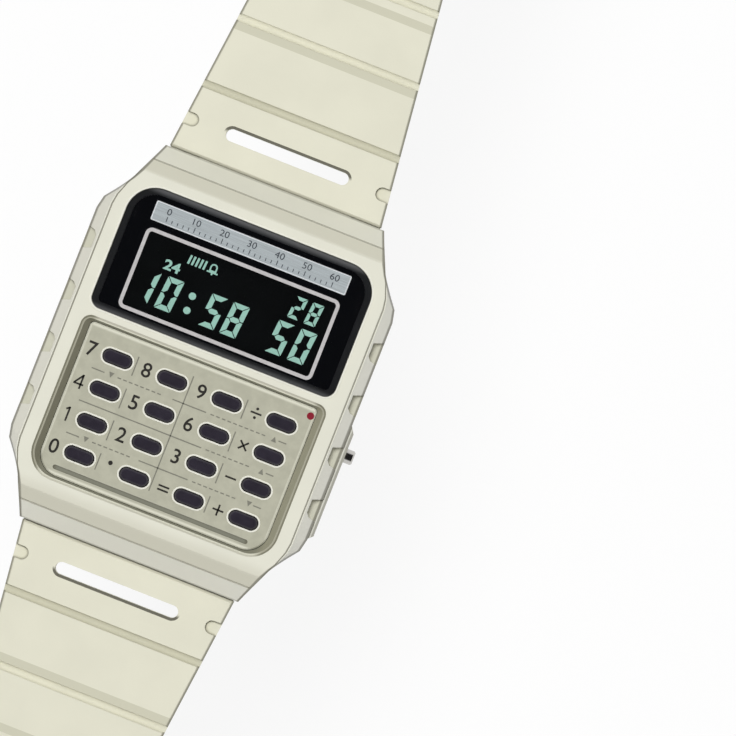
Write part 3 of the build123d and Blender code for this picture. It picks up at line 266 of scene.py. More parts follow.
class Finish(Nodes):
    """A node material with one Principled shader at its end."""

    def __init__(self, name, colour, roughness, **values):
        self.material = bpy.data.materials.new(name)
        self.material.use_nodes = True
        super().__init__(self.material.node_tree)
        self.shader = self.tree.nodes["Principled BSDF"]
        self.colour = colour
        self.tint(colour)
        self.set(Roughness=roughness, **values)

    def set(self, **values):
        """Gives the shader's sockets their values or links. An underscore stands for a space."""
        for name, value in values.items():
            self.feed(self.shader.inputs[name.replace("_", " ")], value)

    def end(self, shader):
        """Ends the material in that shader."""
        self.feed(self.tree.nodes["Material Output"].inputs["Surface"], shader)

    def place(self, stretch=(1, 1, 1)):
        """Object coordinates, stretched."""
        at = self.node("ShaderNodeTexCoord", {}, {}, "Object")
        return self.node("ShaderNodeMapping", {}, {"Vector": at, "Scale": stretch})

    def axes(self):
        """The object's own X, Y and Z, one by one."""
        split = self.node("ShaderNodeSeparateXYZ", {}, {0: self.place()})
        return [Wire(self, output) for output in split.socket.node.outputs]

    def noise(self, grain, detail=2, stretch=(1, 1, 1)):
        """Noise from 0 to 1 whose grains are about that long."""
        sockets = {"Vector": self.place(stretch), "Scale": 1 / grain, "Detail": detail}
        return self.node("ShaderNodeTexNoise", {}, sockets, "Fac")

    def mix(self, factor, first, second):
        """A mix of two colours, in the node's sockets for colours."""
        sockets = {0: factor, 6: first, 7: second}
        return self.node("ShaderNodeMix", {"data_type": "RGBA"}, sockets, 2)

    def ramp(self, value, corners):
        """A bent line through corners in mm, each a place and its level, and flat beyond them."""
        level = corners[0][1] * MM
        for (low, start), (high, end) in zip(corners, corners[1:]):
            sockets = {0: value, 1: low * MM, 2: high * MM, 3: 0, 4: (end - start) * MM}
            level = self.node("ShaderNodeMapRange", {}, sockets) + level
        return level

    def bump(self, height, depth, strength):
        """Roughens the surface by a pattern, as deep as depth."""
        sockets = {"Height": height, "Distance": depth, "Strength": strength}
        self.set(Normal=self.node("ShaderNodeBump", {}, sockets))

    def sheen(self, patches, low, high):
        """Lets the roughness drift from low to high with patches of noise."""
        self.set(Roughness=self.ease(patches, NOISE_LOW, NOISE_HIGH, low, high))

    def tint(self, tone):
        """Makes that the colour, over which the next shade is laid."""
        self.set(Base_Color=tone)
        self.tone = tone

    def vary(self, grain, spread):
        """Lets the colour drift a little lighter and darker over patches of that length."""
        drift = self.rise(self.noise(grain, 3), NOISE_LOW, NOISE_HIGH)
        self.tint(self.mix(drift, *shades(self.colour, 1 - spread, 1 + spread)))

    def over_tone(self, mask, shade):
        """Lays another shade over the colour where the mask is 1."""
        self.tint(self.mix(mask, self.tone, shade))

    def closed(self, reach, inside=False):
        """How far walls that near close a spot in, from 0 in the open. Inside, it finds crowns."""
        settings = {"samples": 8, "inside": inside, "only_local": True}
        return 1 - self.node("ShaderNodeAmbientOcclusion", settings, {"Distance": reach}, "AO")

    def creases(self, shade, reach=0.45 * MM):
        """Painted shade: darkens grooves and inner corners, the more the closer their walls are."""
        start, full, darkest = 0.12, 0.62, 0.85
        self.over_tone(self.rise(self.closed(reach), start, full, darkest), shade)

    def crowns(self, reach=0.22 * MM):
        """A mask of the outer edges, softly as wide as reach."""
        start, full = 0.3, 0.7
        return self.rise(self.closed(reach, inside=True), start, full)


def resin(name, shade, roughness=0.42):
    """Satin moulded resin: a fine spark-eroded grain, and a faint drift of tone and sheen."""
    finish = Finish(name, shade, roughness, IOR=1.5)
    finish.vary(6 * MM, 0.018)
    finish.sheen(finish.noise(1.6 * MM, 3), roughness, roughness + 0.1)
    finish.bump(finish.noise(0.22 * MM, 3), 0.012 * MM, 0.55)
    return finish


def strap_resin(name, sizes, colours, end_top):
    """The strap's resin, with painted shade in grooves, along edges and at the slot's far rim."""
    grooves = 3
    # How deep the painted shade on the edges and in the grooves reaches below the strap's top
    edge_depth, groove_depth = 0.45 * MM, 0.9 * MM
    rim_width = 0.3 * MM
    finish = resin(name, colours.strap, 0.45)
    x, y, z = finish.axes()
    along = abs(y) - sizes.strap_root
    share = (along * (1 / sizes.strap_taper)).under(1)
    half = sizes.strap_root_half - share * (sizes.strap_root_half - sizes.strap_end_half)
    top = sizes.strap_root_top - share * (sizes.strap_root_top - end_top)
    # Painted shade on the floors of the grooves across the strap
    for index in range(grooves):
        start = sizes.groove_pitch * (index + 1)
        inside = (along > start) * (along < start + sizes.groove_width)
        finish.over_tone(inside * (z > top - groove_depth), colours.strap_groove)
    # Painted shade in the strap's creases
    finish.creases(colours.crease)
    # Painted shade: darker outer edges, and a dark line along both sides of the top and at the
    # shoulder
    finish.over_tone(finish.crowns() * 0.3, colours.strap_edge)
    upper = z > top - edge_depth
    side = finish.fall(half - abs(x), 0.1 * MM, 0.32 * MM, 0.9)
    root = finish.fall(along, 0.08 * MM, 0.24 * MM, 0.2)
    finish.over_tone(side.over(root) * upper, colours.strap_edge)
    # How far a spot is past the slot's edge, which is round at both ends
    endways = (abs(x) - sizes.slot_half).over(0)
    across = along - sizes.slot_far + sizes.slot_round
    past = (endways * endways + across * across).root() - sizes.slot_round
    # Painted shade along the slot's far rim
    rim = (past > 0) * (past < rim_width) * finish.rise(across, 0, 0.5 * MM, 0.9)
    finish.over_tone(rim * upper, colours.slot_rim)
    return finish


def shade_slopes(finish, sizes, colours, bezel):
    """Painted shade on flanks and facets. The right flank and last facet below get a painted
    highlight.
    """
    start, bend = sizes.facet_start, sizes.facet_bend
    # Where painted shade darkens the bezel towards its lower end, and about the middle of the first
    # facet
    dusk_low, dusk_high, facet_middle = -18.2 * MM, -16.7 * MM, 19 * MM
    x, y, z = finish.axes()
    along = abs(y)
    # Painted shade tone on the flanks
    flanks = finish.fall(z, bezel - 0.12 * MM, bezel - 0.03 * MM) * (along < bend)
    finish.over_tone(flanks, colours.flank)
    # Painted highlight where the right flank and the last facet below catch more light
    bright = (flanks * (x > 0) * 0.8).over(finish.fall(y, -bend - 0.2 * MM, -bend, 0.9))
    finish.over_tone(bright, colours.lip)
    dusk = finish.fall(y, dusk_low, dusk_high, 0.6) * (along < facet_middle)
    finish.over_tone(dusk, colours.facet)
    # Painted shade on the end facets
    facet = finish.rise(along, start - 0.25 * MM, start + 0.25 * MM)
    beyond = finish.rise(along, bend - 0.1 * MM, bend + 0.1 * MM)
    finish.over_tone(facet - beyond, colours.facet)


def shade_tray(finish, sizes, colours, bezel):
    """The tan slopes of the keypad's tray and the ledge between them, with painted shade by side.
    """
    soft = 0.02 * MM
    x, y, z = finish.axes()
    low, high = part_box("keypad_panel")
    ledge = bezel - sizes.tray_step
    at_side = finish.rise(abs(x), high.x - 0.9 * MM, high.x + 0.1 * MM)
    at_right = finish.rise(x, -1 * MM, 1 * MM)
    # Painted shade: the left slope darkest, the right and the ends lighter, the ledge darker beside
    # the keypad
    beside = finish.mix(at_right, colours.tray_left, colours.tray_right)
    slope = finish.mix(at_side, colours.tray_end, beside)
    step = finish.mix(at_side, colours.facet, colours.tray_step)
    flat = finish.mix(at_side, colours.tray_ledge, colours.side_ledge)
    shade = finish.mix(finish.rise(z, ledge + soft, ledge + 2 * soft), flat, step)
    shade = finish.mix(finish.fall(z, ledge - 2 * soft, ledge - soft), shade, slope)
    side, end = sizes.tray_side, sizes.tray_end
    within = (abs(x) < high.x + side) * (y < high.y + end) * (y > low.y - end)
    finish.over_tone(within * (z < bezel - soft), shade)


# Half the case's width, and the level of its end facets, at places along the case, in mm
CASE_CORNER = ((12.6, 17.2), (14.0, 16.9), (15.3, 15.9), (17.0, 14.7), (18.1, 14.1), (21.6, 12.7))
CASE_LEVEL = ((19.7, 6.9), (21.6, 4.4))


def shade_outline(finish, sizes, colours, bezel):
    """Painted shade on the floors of the grip recesses, and as a thin line on the case's outline.
    """
    edge = bezel - sizes.flank_drop
    grip_end, grip_top, grip_floor = 11 * MM, edge - 0.3 * MM, edge - 0.7 * MM
    # Where the guard pad's side rounds over, and its lower edge
    pad_round, pad_side, pad_foot = 17.36 * MM, 17.5 * MM, 4 * MM
    case_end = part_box("case_body")[1].y
    x, y, z = finish.axes()
    along = abs(y)
    # Painted shade on the floors of the grip recesses
    grip = (abs(x) > sizes.grip_reach) * (along < grip_end) * (z < grip_top) * (z > grip_floor)
    finish.over_tone(grip, colours.grip)
    # Painted shade: a thin line on the outline, at the case's ends by the straps, and on the guard
    # pad's rounded side
    inset = finish.ramp(along, CASE_CORNER) - abs(x)
    line = finish.fall(inset, sizes.case_line * 0.5, sizes.case_line, 0.95)
    upper = (z > finish.ramp(along, CASE_LEVEL).under(edge) - 0.1 * MM).over(grip)
    seam = finish.rise(along, case_end - 0.2 * MM, case_end - 0.08 * MM, 0.45)
    pad = finish.rise(x, pad_round, pad_side, 0.7) * (z > pad_foot)
    finish.over_tone((line * upper).over(seam).over(pad), colours.case_line)


def case_resin(name, sizes, colours):
    """The case's resin, with painted shade and highlights on its slopes, tray, edges and outline.
    """
    finish = resin(name, colours.case)
    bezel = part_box("keypad_panel")[1].z + sizes.tray_depth
    shade_slopes(finish, sizes, colours, bezel)
    shade_tray(finish, sizes, colours, bezel)
    # Painted shade in the case's creases
    finish.creases(colours.crease)
    # A painted highlight on the outer edges near the bezel's top
    near_top = finish.axes()[2] > bezel - 0.3 * MM
    finish.over_tone(finish.crowns() * near_top * 0.5, colours.lip)
    shade_outline(finish, sizes, colours, bezel)
    return finish


def panel_resin(name, sizes, colours):
    """The keypad panel: mottled warm grey, a painted highlight along its edge, painted shade in its
    groove.
    """
    finish = resin(name, colours.panel, 0.38)
    finish.vary(1.1 * MM, 0.05)
    x, y, z = finish.axes()
    low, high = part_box("keypad_panel")
    # A painted highlight band along the panel's edge
    band = sizes.panel_edge
    end = band * 1.5
    reach = (abs(x) - (high.x - band)).over(y - (high.y - end)).over((low.y + end) - y)
    finish.over_tone(finish.rise(reach, 0, band * 0.8), colours.panel_edge)
    # Painted shade on the floor of the panel's groove
    finish.over_tone(finish.fall(z, high.z - 0.2 * MM, high.z - 0.1 * MM), colours.groove)
    # Painted shade in the panel's creases
    finish.creases(colours.crease)
    # A painted highlight on the panel's outer edges
    finish.over_tone(finish.crowns() * 0.5, colours.lip)
    return finish


def rubber(name, shade, roughness=0.55):
    """Moulded rubber with a matt skin, a little shinier in patches."""
    finish = Finish(name, shade, roughness, IOR=1.5)
    finish.vary(1.5 * MM, 0.12)
    finish.sheen(finish.noise(0.5 * MM, 3), roughness - 0.12, roughness)
    finish.bump(finish.noise(0.09 * MM), 0.008 * MM, 0.5)
    return finish


def ink(name, shade, roughness=0.5):
    """Printed ink: slightly uneven cover and sheen."""
    finish = Finish(name, shade, roughness)
    finish.vary(0.6 * MM, 0.05)
    finish.sheen(finish.noise(0.2 * MM), roughness - 0.1, roughness + 0.1)
    return finish


def brushed(name, shade, roughness, run=(1, 40, 40), depth=0.003 * MM, metallic=1.0):
    """Brushed metal: long scratches along one axis, with bright and dull streaks."""
    finish = Finish(name, shade, roughness, Metallic=metallic)
    fine = finish.noise(4 * MM, 4, run)
    finish.tint(finish.mix(finish.rise(fine, 0.35, 0.65), *shades(shade, 0.88, 1.08)))
    finish.sheen(finish.noise(12 * MM, stretch=run), roughness - 0.06, roughness + 0.08)
    finish.bump(fine, depth, 0.6)
    return finish


def polished(name, shade, roughness=0.12, crease=None):
    """Bright steel with handling marks, and painted shade in its slots where a crease's shade is
    given.
    """
    finish = Finish(name, shade, roughness, Metallic=1.0)
    if crease:
        finish.vary(1 * MM, 0.03)
        finish.creases(crease, 0.3 * MM)
    marks = finish.noise(0.8 * MM, 5)
    finish.set(Roughness=finish.ease(marks, 0.35, 0.75, roughness, roughness + 0.12))
    finish.bump(finish.noise(2.5 * MM), 0.004 * MM, 0.3)
    return finish


def gloss_black(name, shade):
    """Black gloss print under the crystal, with a trace of orange peel."""
    finish = Finish(name, shade, 0.16)
    finish.sheen(finish.noise(1.5 * MM), 0.12, 0.22)
    finish.bump(finish.noise(1.2 * MM), 0.003 * MM, 0.3)
    return finish


def border_print(name, shade, pale):
    """Black print under the crystal's rim, greyed and paler at its ends as a painted bevel
    reflection.
    """
    finish = Finish(name, shade, 0.5)
    finish.vary(2 * MM, 0.1)
    low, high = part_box("crystal")
    y = finish.axes()[1]
    upper = finish.rise(y, high.y - 0.8 * MM, high.y)
    lower = finish.fall(y, low.y, low.y + 0.6 * MM, 0.6)
    finish.over_tone(upper + lower, pale)
    return finish


def clear_glass(name):
    """A clear window: what lies behind shows, with a mirror sheen that grows at glancing angles."""
    finish = Finish(name, (1, 1, 1), 0.03)
    # The share that mirrors when the eye looks straight on, and a trace of green in the clear
    straight_on, pale_green = 0.03, (0.985, 0.99, 0.99)
    slant = finish.node("ShaderNodeLayerWeight", {}, {"Blend": 0.5}, "Facing")
    mirrored = slant * slant * slant * slant * slant * (1 - straight_on) + straight_on
    clear = finish.node("ShaderNodeBsdfTransparent", {}, {"Color": pale_green})
    smears = finish.ease(finish.noise(7 * MM, 4), 0.45, 0.8, 0.02, 0.06)
    mirror = finish.node("ShaderNodeBsdfGlossy", {}, {"Color": (1, 1, 1), "Roughness": smears})
    finish.tree.nodes.remove(finish.shader)
    finish.end(finish.node("ShaderNodeMixShader", {}, {0: mirrored, 1: clear, 2: mirror}))
    return finish


def lit_ink(name, shade):
    """The display's lit figures, with a faint painted glow and a slightly uneven tone."""
    finish = Finish(name, shade, 0.4, Emission_Strength=0.12, Emission_Color=shade)
    finish.vary(0.8 * MM, 0.04)
    return finish


def dark_cell(name, shade):
    """The display's dark ground, with the polariser's fine weave."""
    finish = Finish(name, shade, 0.2)
    finish.vary(5 * MM, 0.25)
    finish.bump(finish.noise(0.3 * MM, stretch=(1, 8, 1)), 0.002 * MM, 0.3)
    return finish


def lacquered_board(name, shade, trace):
    """Green lacquer over copper tracks, laid out on a grid."""
    finish = Finish(name, shade, 0.28)
    flat = finish.place((1, 1, 0))
    sockets = {"Vector": flat, "Scale": 1 / (1.3 * MM), "Mortar Size": 0.07, "Brick Width": 1.7}
    track = finish.node("ShaderNodeTexBrick", {}, sockets, "Fac")
    finish.over_tone(track, trace)
    finish.bump(track, 0.02 * MM, 0.6)
    return finish


def striped_rubber(name, light, dark):
    """The connector strip's fine layers, dark and clear by turns."""
    finish = Finish(name, light, 0.5)
    sockets = {"Vector": finish.place(), "Scale": 1 / (2.4 * MM), "Distortion": 0.1}
    layers = finish.node("ShaderNodeTexWave", {"bands_direction": "X"}, sockets, "Fac")
    finish.over_tone(layers > 0.5, dark)
    finish.bump(layers, 0.01 * MM, 0.3)
    return finish


def plain_plastic(name, shade, roughness):
    """A hidden moulding: matt, with faint flow marks."""
    finish = Finish(name, shade, roughness)
    finish.vary(3 * MM, 0.06)
    finish.bump(finish.noise(0.4 * MM, 3), 0.01 * MM, 0.4)
    return finish


# Mesh tools. A shape is built in metres, in the watch's own frame

def rounded_face(bm, low, high, z, low_radius, high_radius, steps):
    """A flat face with rounded corners: one radius for the lower pair and one for the upper."""
    before = set(bm.faces)
    corners = [(low[0], low[1]), (high[0], low[1]), (high[0], high[1]), (low[0], high[1])]
    verts = [bm.verts.new((x, y, z)) for x, y in corners]
    bm.faces.new(verts)
    for vert, radius in zip(verts, (low_radius, low_radius, high_radius, high_radius)):
        bmesh.ops.bevel(
            bm, geom=[vert], offset=radius, offset_type="OFFSET", affect="VERTICES",
            segments=steps, profile=0.5, material=-1, clamp_overlap=False,
        )
    return next(face for face in bm.faces if face not in before)


def thicken(bm, faces, height):
    """Draws flat faces up into closed plates of that height, and returns the plates' tops."""
    drawn = bmesh.ops.extrude_face_region(bm, geom=faces, use_keep_orig=True)["geom"]
    verts = [item for item in drawn if isinstance(item, bmesh.types.BMVert)]
    bmesh.ops.translate(bm, verts=verts, vec=(0, 0, height))
    return [item for item in drawn if isinstance(item, bmesh.types.BMFace)]


def soften(bm, tops, radius):
    """Rounds the edges all round some top faces."""
    edges = {edge for face in tops for edge in face.edges}
    rims = [edge for edge in edges if any(face not in tops for face in edge.link_faces)]
    bmesh.ops.bevel(
        bm, geom=rims, offset=radius, offset_type="OFFSET", affect="EDGES",
        segments=2, profile=0.5, material=-1, clamp_overlap=True,
    )


def ring(bm, low, high, z, height, width, low_radius, high_radius=None, edge=0.0, steps=8):
    """A flat ring with rounded corners, as wide as width, inside the outline low to high."""
    radii = (low_radius, low_radius if high_radius is None else high_radius)
    least = width * 0.1
    inner_low = (low[0] + width, low[1] + width)
    inner_high = (high[0] - width, high[1] - width)
    inner_radii = [max(radius - width, least) for radius in radii]
    faces = [
        rounded_face(bm, low, high, z, *radii, steps),
        rounded_face(bm, inner_low, inner_high, z, *inner_radii, steps),
    ]
    rims = [rim for face in faces for rim in face.edges]
    bmesh.ops.delete(bm, geom=faces, context="FACES_ONLY")
    band = bmesh.ops.bridge_loops(bm, edges=rims)["faces"]
    bmesh.ops.recalc_face_normals(bm, faces=band)
    tops = thicken(bm, band, height)
    if edge:
        soften(bm, tops, edge)


def lip(bm, low, high, z, height, width, *radii):
    """A raised ring with a rounded top."""
    ring(bm, low, high, z, height, width, *radii, edge=height * 0.45, steps=12)


def disc(bm, x, y, z, radius, height, segments=32):
    """A closed flat disc."""
    made = bmesh.ops.create_circle(
        bm, cap_ends=True, radius=radius, segments=segments,
        matrix=Matrix.Translation((x, y, z)),
    )
    thicken(bm, [made["verts"][0].link_faces[0]], height)


def plate(bm, outline, z, height):
    """A closed flat plate, from the corners of its outline."""
    face = bm.faces.new([bm.verts.new((x, y, z)) for x, y in outline])
    thicken(bm, [face], height)


def bar(bm, start, end, width, z, height):
    """A flat bar from start to end, with square ends."""
    start, end = Vector(start), Vector(end)
    along = (end - start).normalized()
    side = Vector((-along.y, along.x)) * width / 2
    plate(bm, (start - side, end - side, end + side, start + side), z, height)


def letters(bm, text, height, centre, z, thickness, weight, width_share):
    """Adds plain lettering, centred on a point, as closed flat shapes."""
    curve = bpy.data.curves.new("lettering", "FONT")
    curve.body = text
    curve.offset = weight
    curve.resolution_u = 5
    curve.extrude = 0.5
    word = bpy.data.objects.new("lettering", curve)
    bpy.context.scene.collection.objects.link(word)
    bpy.context.view_layer.update()
    drawn = word.evaluated_get(bpy.context.evaluated_depsgraph_get())
    mesh = bpy.data.meshes.new_from_object(drawn)
    spots = [vertex.co for vertex in mesh.vertices]
    low = Vector([min(spot[axis] for spot in spots) for axis in range(3)])
    high = Vector([max(spot[axis] for spot in spots) for axis in range(3)])
    scale = height / (high.y - low.y)
    place = Matrix.Translation((centre[0], centre[1], z + thickness / 2))
    grow = Matrix.Diagonal((scale * width_share, scale, thickness / (high.z - low.z), 1))
    mesh.transform(place @ grow @ Matrix.Translation(-(low + high) / 2))
    bm.from_mesh(mesh)
    bpy.data.meshes.remove(mesh)
    bpy.data.objects.remove(word)
    bpy.data.curves.remove(curve)


# Seven segment figures

SEGMENTS = {
    "0": "abcdef", "1": "bc", "2": "abged", "3": "abgcd", "4": "fgbc",
    "5": "afgcd", "6": "afgedc", "7": "abc", "8": "abcdefg", "9": "abcdfg",
}


def segment_outlines(width, height, stroke, gap):
    """The outline of each segment, from the figure's lower left corner."""
    middle, half = height / 2, stroke / 2
    inner, right, top = stroke + gap, width - stroke, height - stroke
    tip = half + gap
    level = ((gap, height), (width - gap, height), (right - gap, top), (inner, top))
    upright = (
        (width, height - gap), (width, middle + gap), (right + half, middle + gap),
        (right, middle + tip), (right, top - gap),
    )
    between = (
        (tip, middle), (inner, middle + half), (right - gap, middle + half),
        (width - tip, middle), (right - gap, middle - half), (inner, middle - half),
    )

    def flip(outline, sideways, over):
        return [(width - x if sideways else x, height - y if over else y) for x, y in outline]
    return {
        "a": level, "b": upright, "c": flip(upright, False, True), "d": flip(level, False, True),
        "e": flip(upright, True, True), "f": flip(upright, True, False), "g": between,
    }


def figure(bm, digit, low, width, height, stroke, gap, z, thickness, slant_share):
    """One figure of seven slanted segments, whose lower left corner is low."""
    outlines = segment_outlines(width, height, stroke, gap)
    for name in SEGMENTS[digit]:
        points = [(low[0] + x + y * slant_share, low[1] + y) for x, y in outlines[name]]
        plate(bm, points, z, thickness)


# Pieces. A new one is added with its body, and a imported node gets its finish

def shaped(name, build, *details, **more):
    """A new mesh object from what build adds to an empty bmesh, with its faces turned outwards."""
    bm = bmesh.new()
    build(bm, *details, **more)
    bmesh.ops.recalc_face_normals(bm, faces=bm.faces[:])
    mesh = bpy.data.meshes.new(name)
    bm.to_mesh(mesh)
    bm.free()
    piece = bpy.data.objects.new(name, mesh)
    bpy.context.scene.collection.objects.link(piece)
    return piece


def add(name, body, slot, finish, build, *details, **more):
    """A new piece, with the body that it moves with and its finish. The slot argument is not used.
    """
    piece = shaped(name, build, *details, **more)
    piece.data.materials.append(finish.material)
    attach(piece, body)


def dress(finish, *names):
    """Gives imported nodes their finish."""
    for name in names:
        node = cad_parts[name]
        node.data.materials.clear()
        node.data.materials.append(finish.material)


# Operators: one for each piece or group of like pieces

class Dresser:
    """What the operators share: their place in the undo list and the user's values."""

    bl_options = {"REGISTER", "UNDO"}

    def values(self, context):
        return context.scene.watch_sizes, context.scene.watch_colours


class WATCH_OT_stage(Dresser, bpy.types.Operator):
    """Sets the camera, the floor, the lamp and the background"""

    bl_idname = "watch.stage"
    bl_label = "Stage"

    # The photograph looks straight down, with the watch turned clockwise
    turn = math.radians(21.5)
    middle = (16.51 * MM, 7.14 * MM)
    view_width = 79.48 * MM
    distance = 1500 * MM
    sensor = 36.0
    floor_size = 6.0
    # Deep enough for the strap halves to hang at their hinges' limit
    floor_gap = 114 * MM
    # How far the floor shows as plain white rather than as lit paper
    floor_glow = 0.88
    lamp_place = Vector((-0.12, 0.14, 1.3))
    lamp_size = 0.25
    lamp_power = 12.0
    # The tent's light, and the heights over which its mirror image darkens to the hole's level
    tent_level = 0.36
    hole_start = 0.36
    hole_end = 0.74
    hole_level = 0.02

    def execute(self, context):
        scene = context.scene
        scene.view_settings.view_transform = "Standard"
        self.camera(scene)
        self.floor(scene.watch_colours)
        self.softbox(scene)
        self.background(scene)
        return {"FINISHED"}

    def camera(self, scene):
        lens = bpy.data.cameras.new("camera")
        lens.sensor_width = self.sensor
        lens.lens = self.sensor * self.distance / self.view_width
        lens.clip_start, lens.clip_end = 0.05, 50
        camera = bpy.data.objects.new("camera", lens)
        place = Matrix.Translation((*self.middle, cad_box[1][2] + self.distance))
        camera.matrix_world = place @ Matrix.Rotation(self.turn, 4, "Z")
        scene.collection.objects.link(camera)
        scene.camera = camera

    def floor(self, colours):
        floor = shaped(
            "floor", bmesh.ops.create_grid, x_segments=1, y_segments=1, size=self.floor_size / 2,
            matrix=Matrix.Translation((0, 0, cad_box[0][2] - self.floor_gap)),
        )
        finish = Finish("floor_paper", colours.floor, 0.9)
        finish.vary(0.3, 0.004)
        path, gloss, through = (
            finish.node("ShaderNodeLightPath", {}, {}, f"Is {kind} Ray")
            for kind in ("Camera", "Glossy", "Transmission")
        )
        shown = (path + gloss + through) * self.floor_glow
        body = Wire(finish, finish.shader.outputs[0])
        white = finish.node("ShaderNodeEmission", {}, {"Color": (1, 1, 1), "Strength": 1.0})
        finish.end(finish.node("ShaderNodeMixShader", {}, {0: shown, 1: body, 2: white}))
        floor.data.materials.append(finish.material)

    def softbox(self, scene):
        lamp = bpy.data.lights.new("key_light", "AREA")
        lamp.shape = "SQUARE"
        lamp.size = self.lamp_size
        lamp.energy = self.lamp_power
        light = bpy.data.objects.new("key_light", lamp)
        aim = (-self.lamp_place).to_track_quat("-Z", "Y").to_matrix().to_4x4()
        light.matrix_world = Matrix.Translation(self.lamp_place) @ aim
        light.visible_glossy = False
        scene.collection.objects.link(light)

    def background(self, scene):
        """An even pale tent, with a dark hole overhead where the camera looks through."""
        world = bpy.data.worlds.new("tent")
        world.use_nodes = True
        scene.world = world
        tent = Nodes(world.node_tree)
        at = tent.node("ShaderNodeTexCoord", {}, {}, "Generated")
        height = tent.node("ShaderNodeSeparateXYZ", {}, {0: at}, "Z")
        hole = tent.ease(height, self.hole_start, self.hole_end, 1, self.hole_level)
        gloss = tent.node("ShaderNodeLightPath", {}, {}, "Is Glossy Ray")
        level = tent.node("ShaderNodeMix", {}, {0: gloss, 2: self.tent_level, 3: hole})
        ground = world.node_tree.nodes["Background"]
        tent.feed(ground.inputs["Strength"], level)
        tent.feed(ground.inputs["Color"], (1, 1, 1))


class WATCH_OT_case(Dresser, bpy.types.Operator):
    """Gives the case its moulded resin, and the pale raised lip round the crystal, a painted
    highlight
    """

    bl_idname = "watch.case"
    bl_label = "Case"

    # The gap between the crystal's edge and the lip
    lip_gap = 0.06 * MM

    def execute(self, context):
        sizes, colours = self.values(context)
        dress(case_resin("cream_resin", sizes, colours), "case_body")
        low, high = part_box("crystal")
        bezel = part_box("keypad_panel")[1].z + sizes.tray_depth
        reach = self.lip_gap + sizes.crystal_lip
        add(
            "crystal_lip", "case", "case_resin", resin("lip_resin", colours.lip, 0.3), lip,
            (low.x - reach, low.y - reach), (high.x + reach, high.y + reach), bezel,
            sizes.lip_height, sizes.crystal_lip, sizes.crystal_low + reach,
            sizes.crystal_high + reach,
        )
        return {"FINISHED"}


class WATCH_OT_window(Dresser, bpy.types.Operator):
    """Dresses the crystal, the black mask with its pale frame line, and the silver strip"""

    bl_idname = "watch.window"
    bl_label = "Window"

    # The plain scale on the silver strip, in mm
    scale_length = 19.2
    scale_end = 60
    tick_step = 2
    number_step = 10
    tick_foot = 0.32
    tick_width = 0.09
    short_tick = 0.35
    long_tick = 0.55
    number_y = 1.45
    number_height = 0.72

    def execute(self, context):
        sizes, colours = self.values(context)
        thin = sizes.print_height
        dress(clear_glass("clear_crystal"), "crystal")
        dress(rubber("black_tape", colours.mask), "crystal_adhesive")
        dress(gloss_black("black_mask", colours.mask), "dial_mask")
        strip = brushed("silver_strip", colours.strip, 0.5, depth=0.0008 * MM, metallic=0.1)
        dress(strip, "dial_nameplate")

        low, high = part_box("crystal")
        border = border_print("border_print", colours.border, colours.border_end)
        add(
            "crystal_border", "case", "black_print", border, ring, low, high, low.z + thin, thin,
            sizes.border, sizes.crystal_low, sizes.crystal_high, steps=12,
        )
        line = sizes.frame_line
        line_low = (low.x + sizes.window_side - line, low.y + sizes.window_low - line)
        line_high = (high.x - sizes.window_side + line, high.y - sizes.window_high + line)
        add(
            "window_frame_line", "case", "silver_strip", ink("pale_line", colours.frame_line),
            ring, line_low, line_high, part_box("dial_mask")[1].z, thin, line, sizes.frame_corner,
        )
        low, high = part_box("dial_nameplate")
        # A painted highlight: a lighter copy of the strip's brushed finish along its edge
        bright = brushed("strip_edge", colours.strip_edge, 0.4, metallic=0.1)
        add(
            "strip_bright_edge", "case", "silver_strip", bright, ring, low, high, high.z,
            thin / 2, sizes.strip_edge, sizes.strip_edge * 1.1, steps=3,
        )
        scale_ink = ink("scale_ink", (0.035, 0.04, 0.055))
        add("strip_scale", "case", "silver_strip", scale_ink, self.scale, low, high, thin / 2)
        return {"FINISHED"}

    def scale(self, bm, low, high, thin):
        """A plain scale of sixty: a tick for every two, with figures at the tens."""
        middle_x = (low.x + high.x) / 2
        foot = low.y + self.tick_foot * MM
        for count in range(0, self.scale_end + 1, self.tick_step):
            x = middle_x + (count / self.scale_end - 0.5) * self.scale_length * MM
            numbered = count % self.number_step == 0
            tall = (self.long_tick if numbered else self.short_tick) * MM
            bar(bm, (x, foot), (x, foot + tall), self.tick_width * MM, high.z, thin)
            if numbered:
                spot = (x, low.y + self.number_y * MM)
                letters(bm, str(count), self.number_height * MM, spot, high.z, thin, 0.0, 1.1)


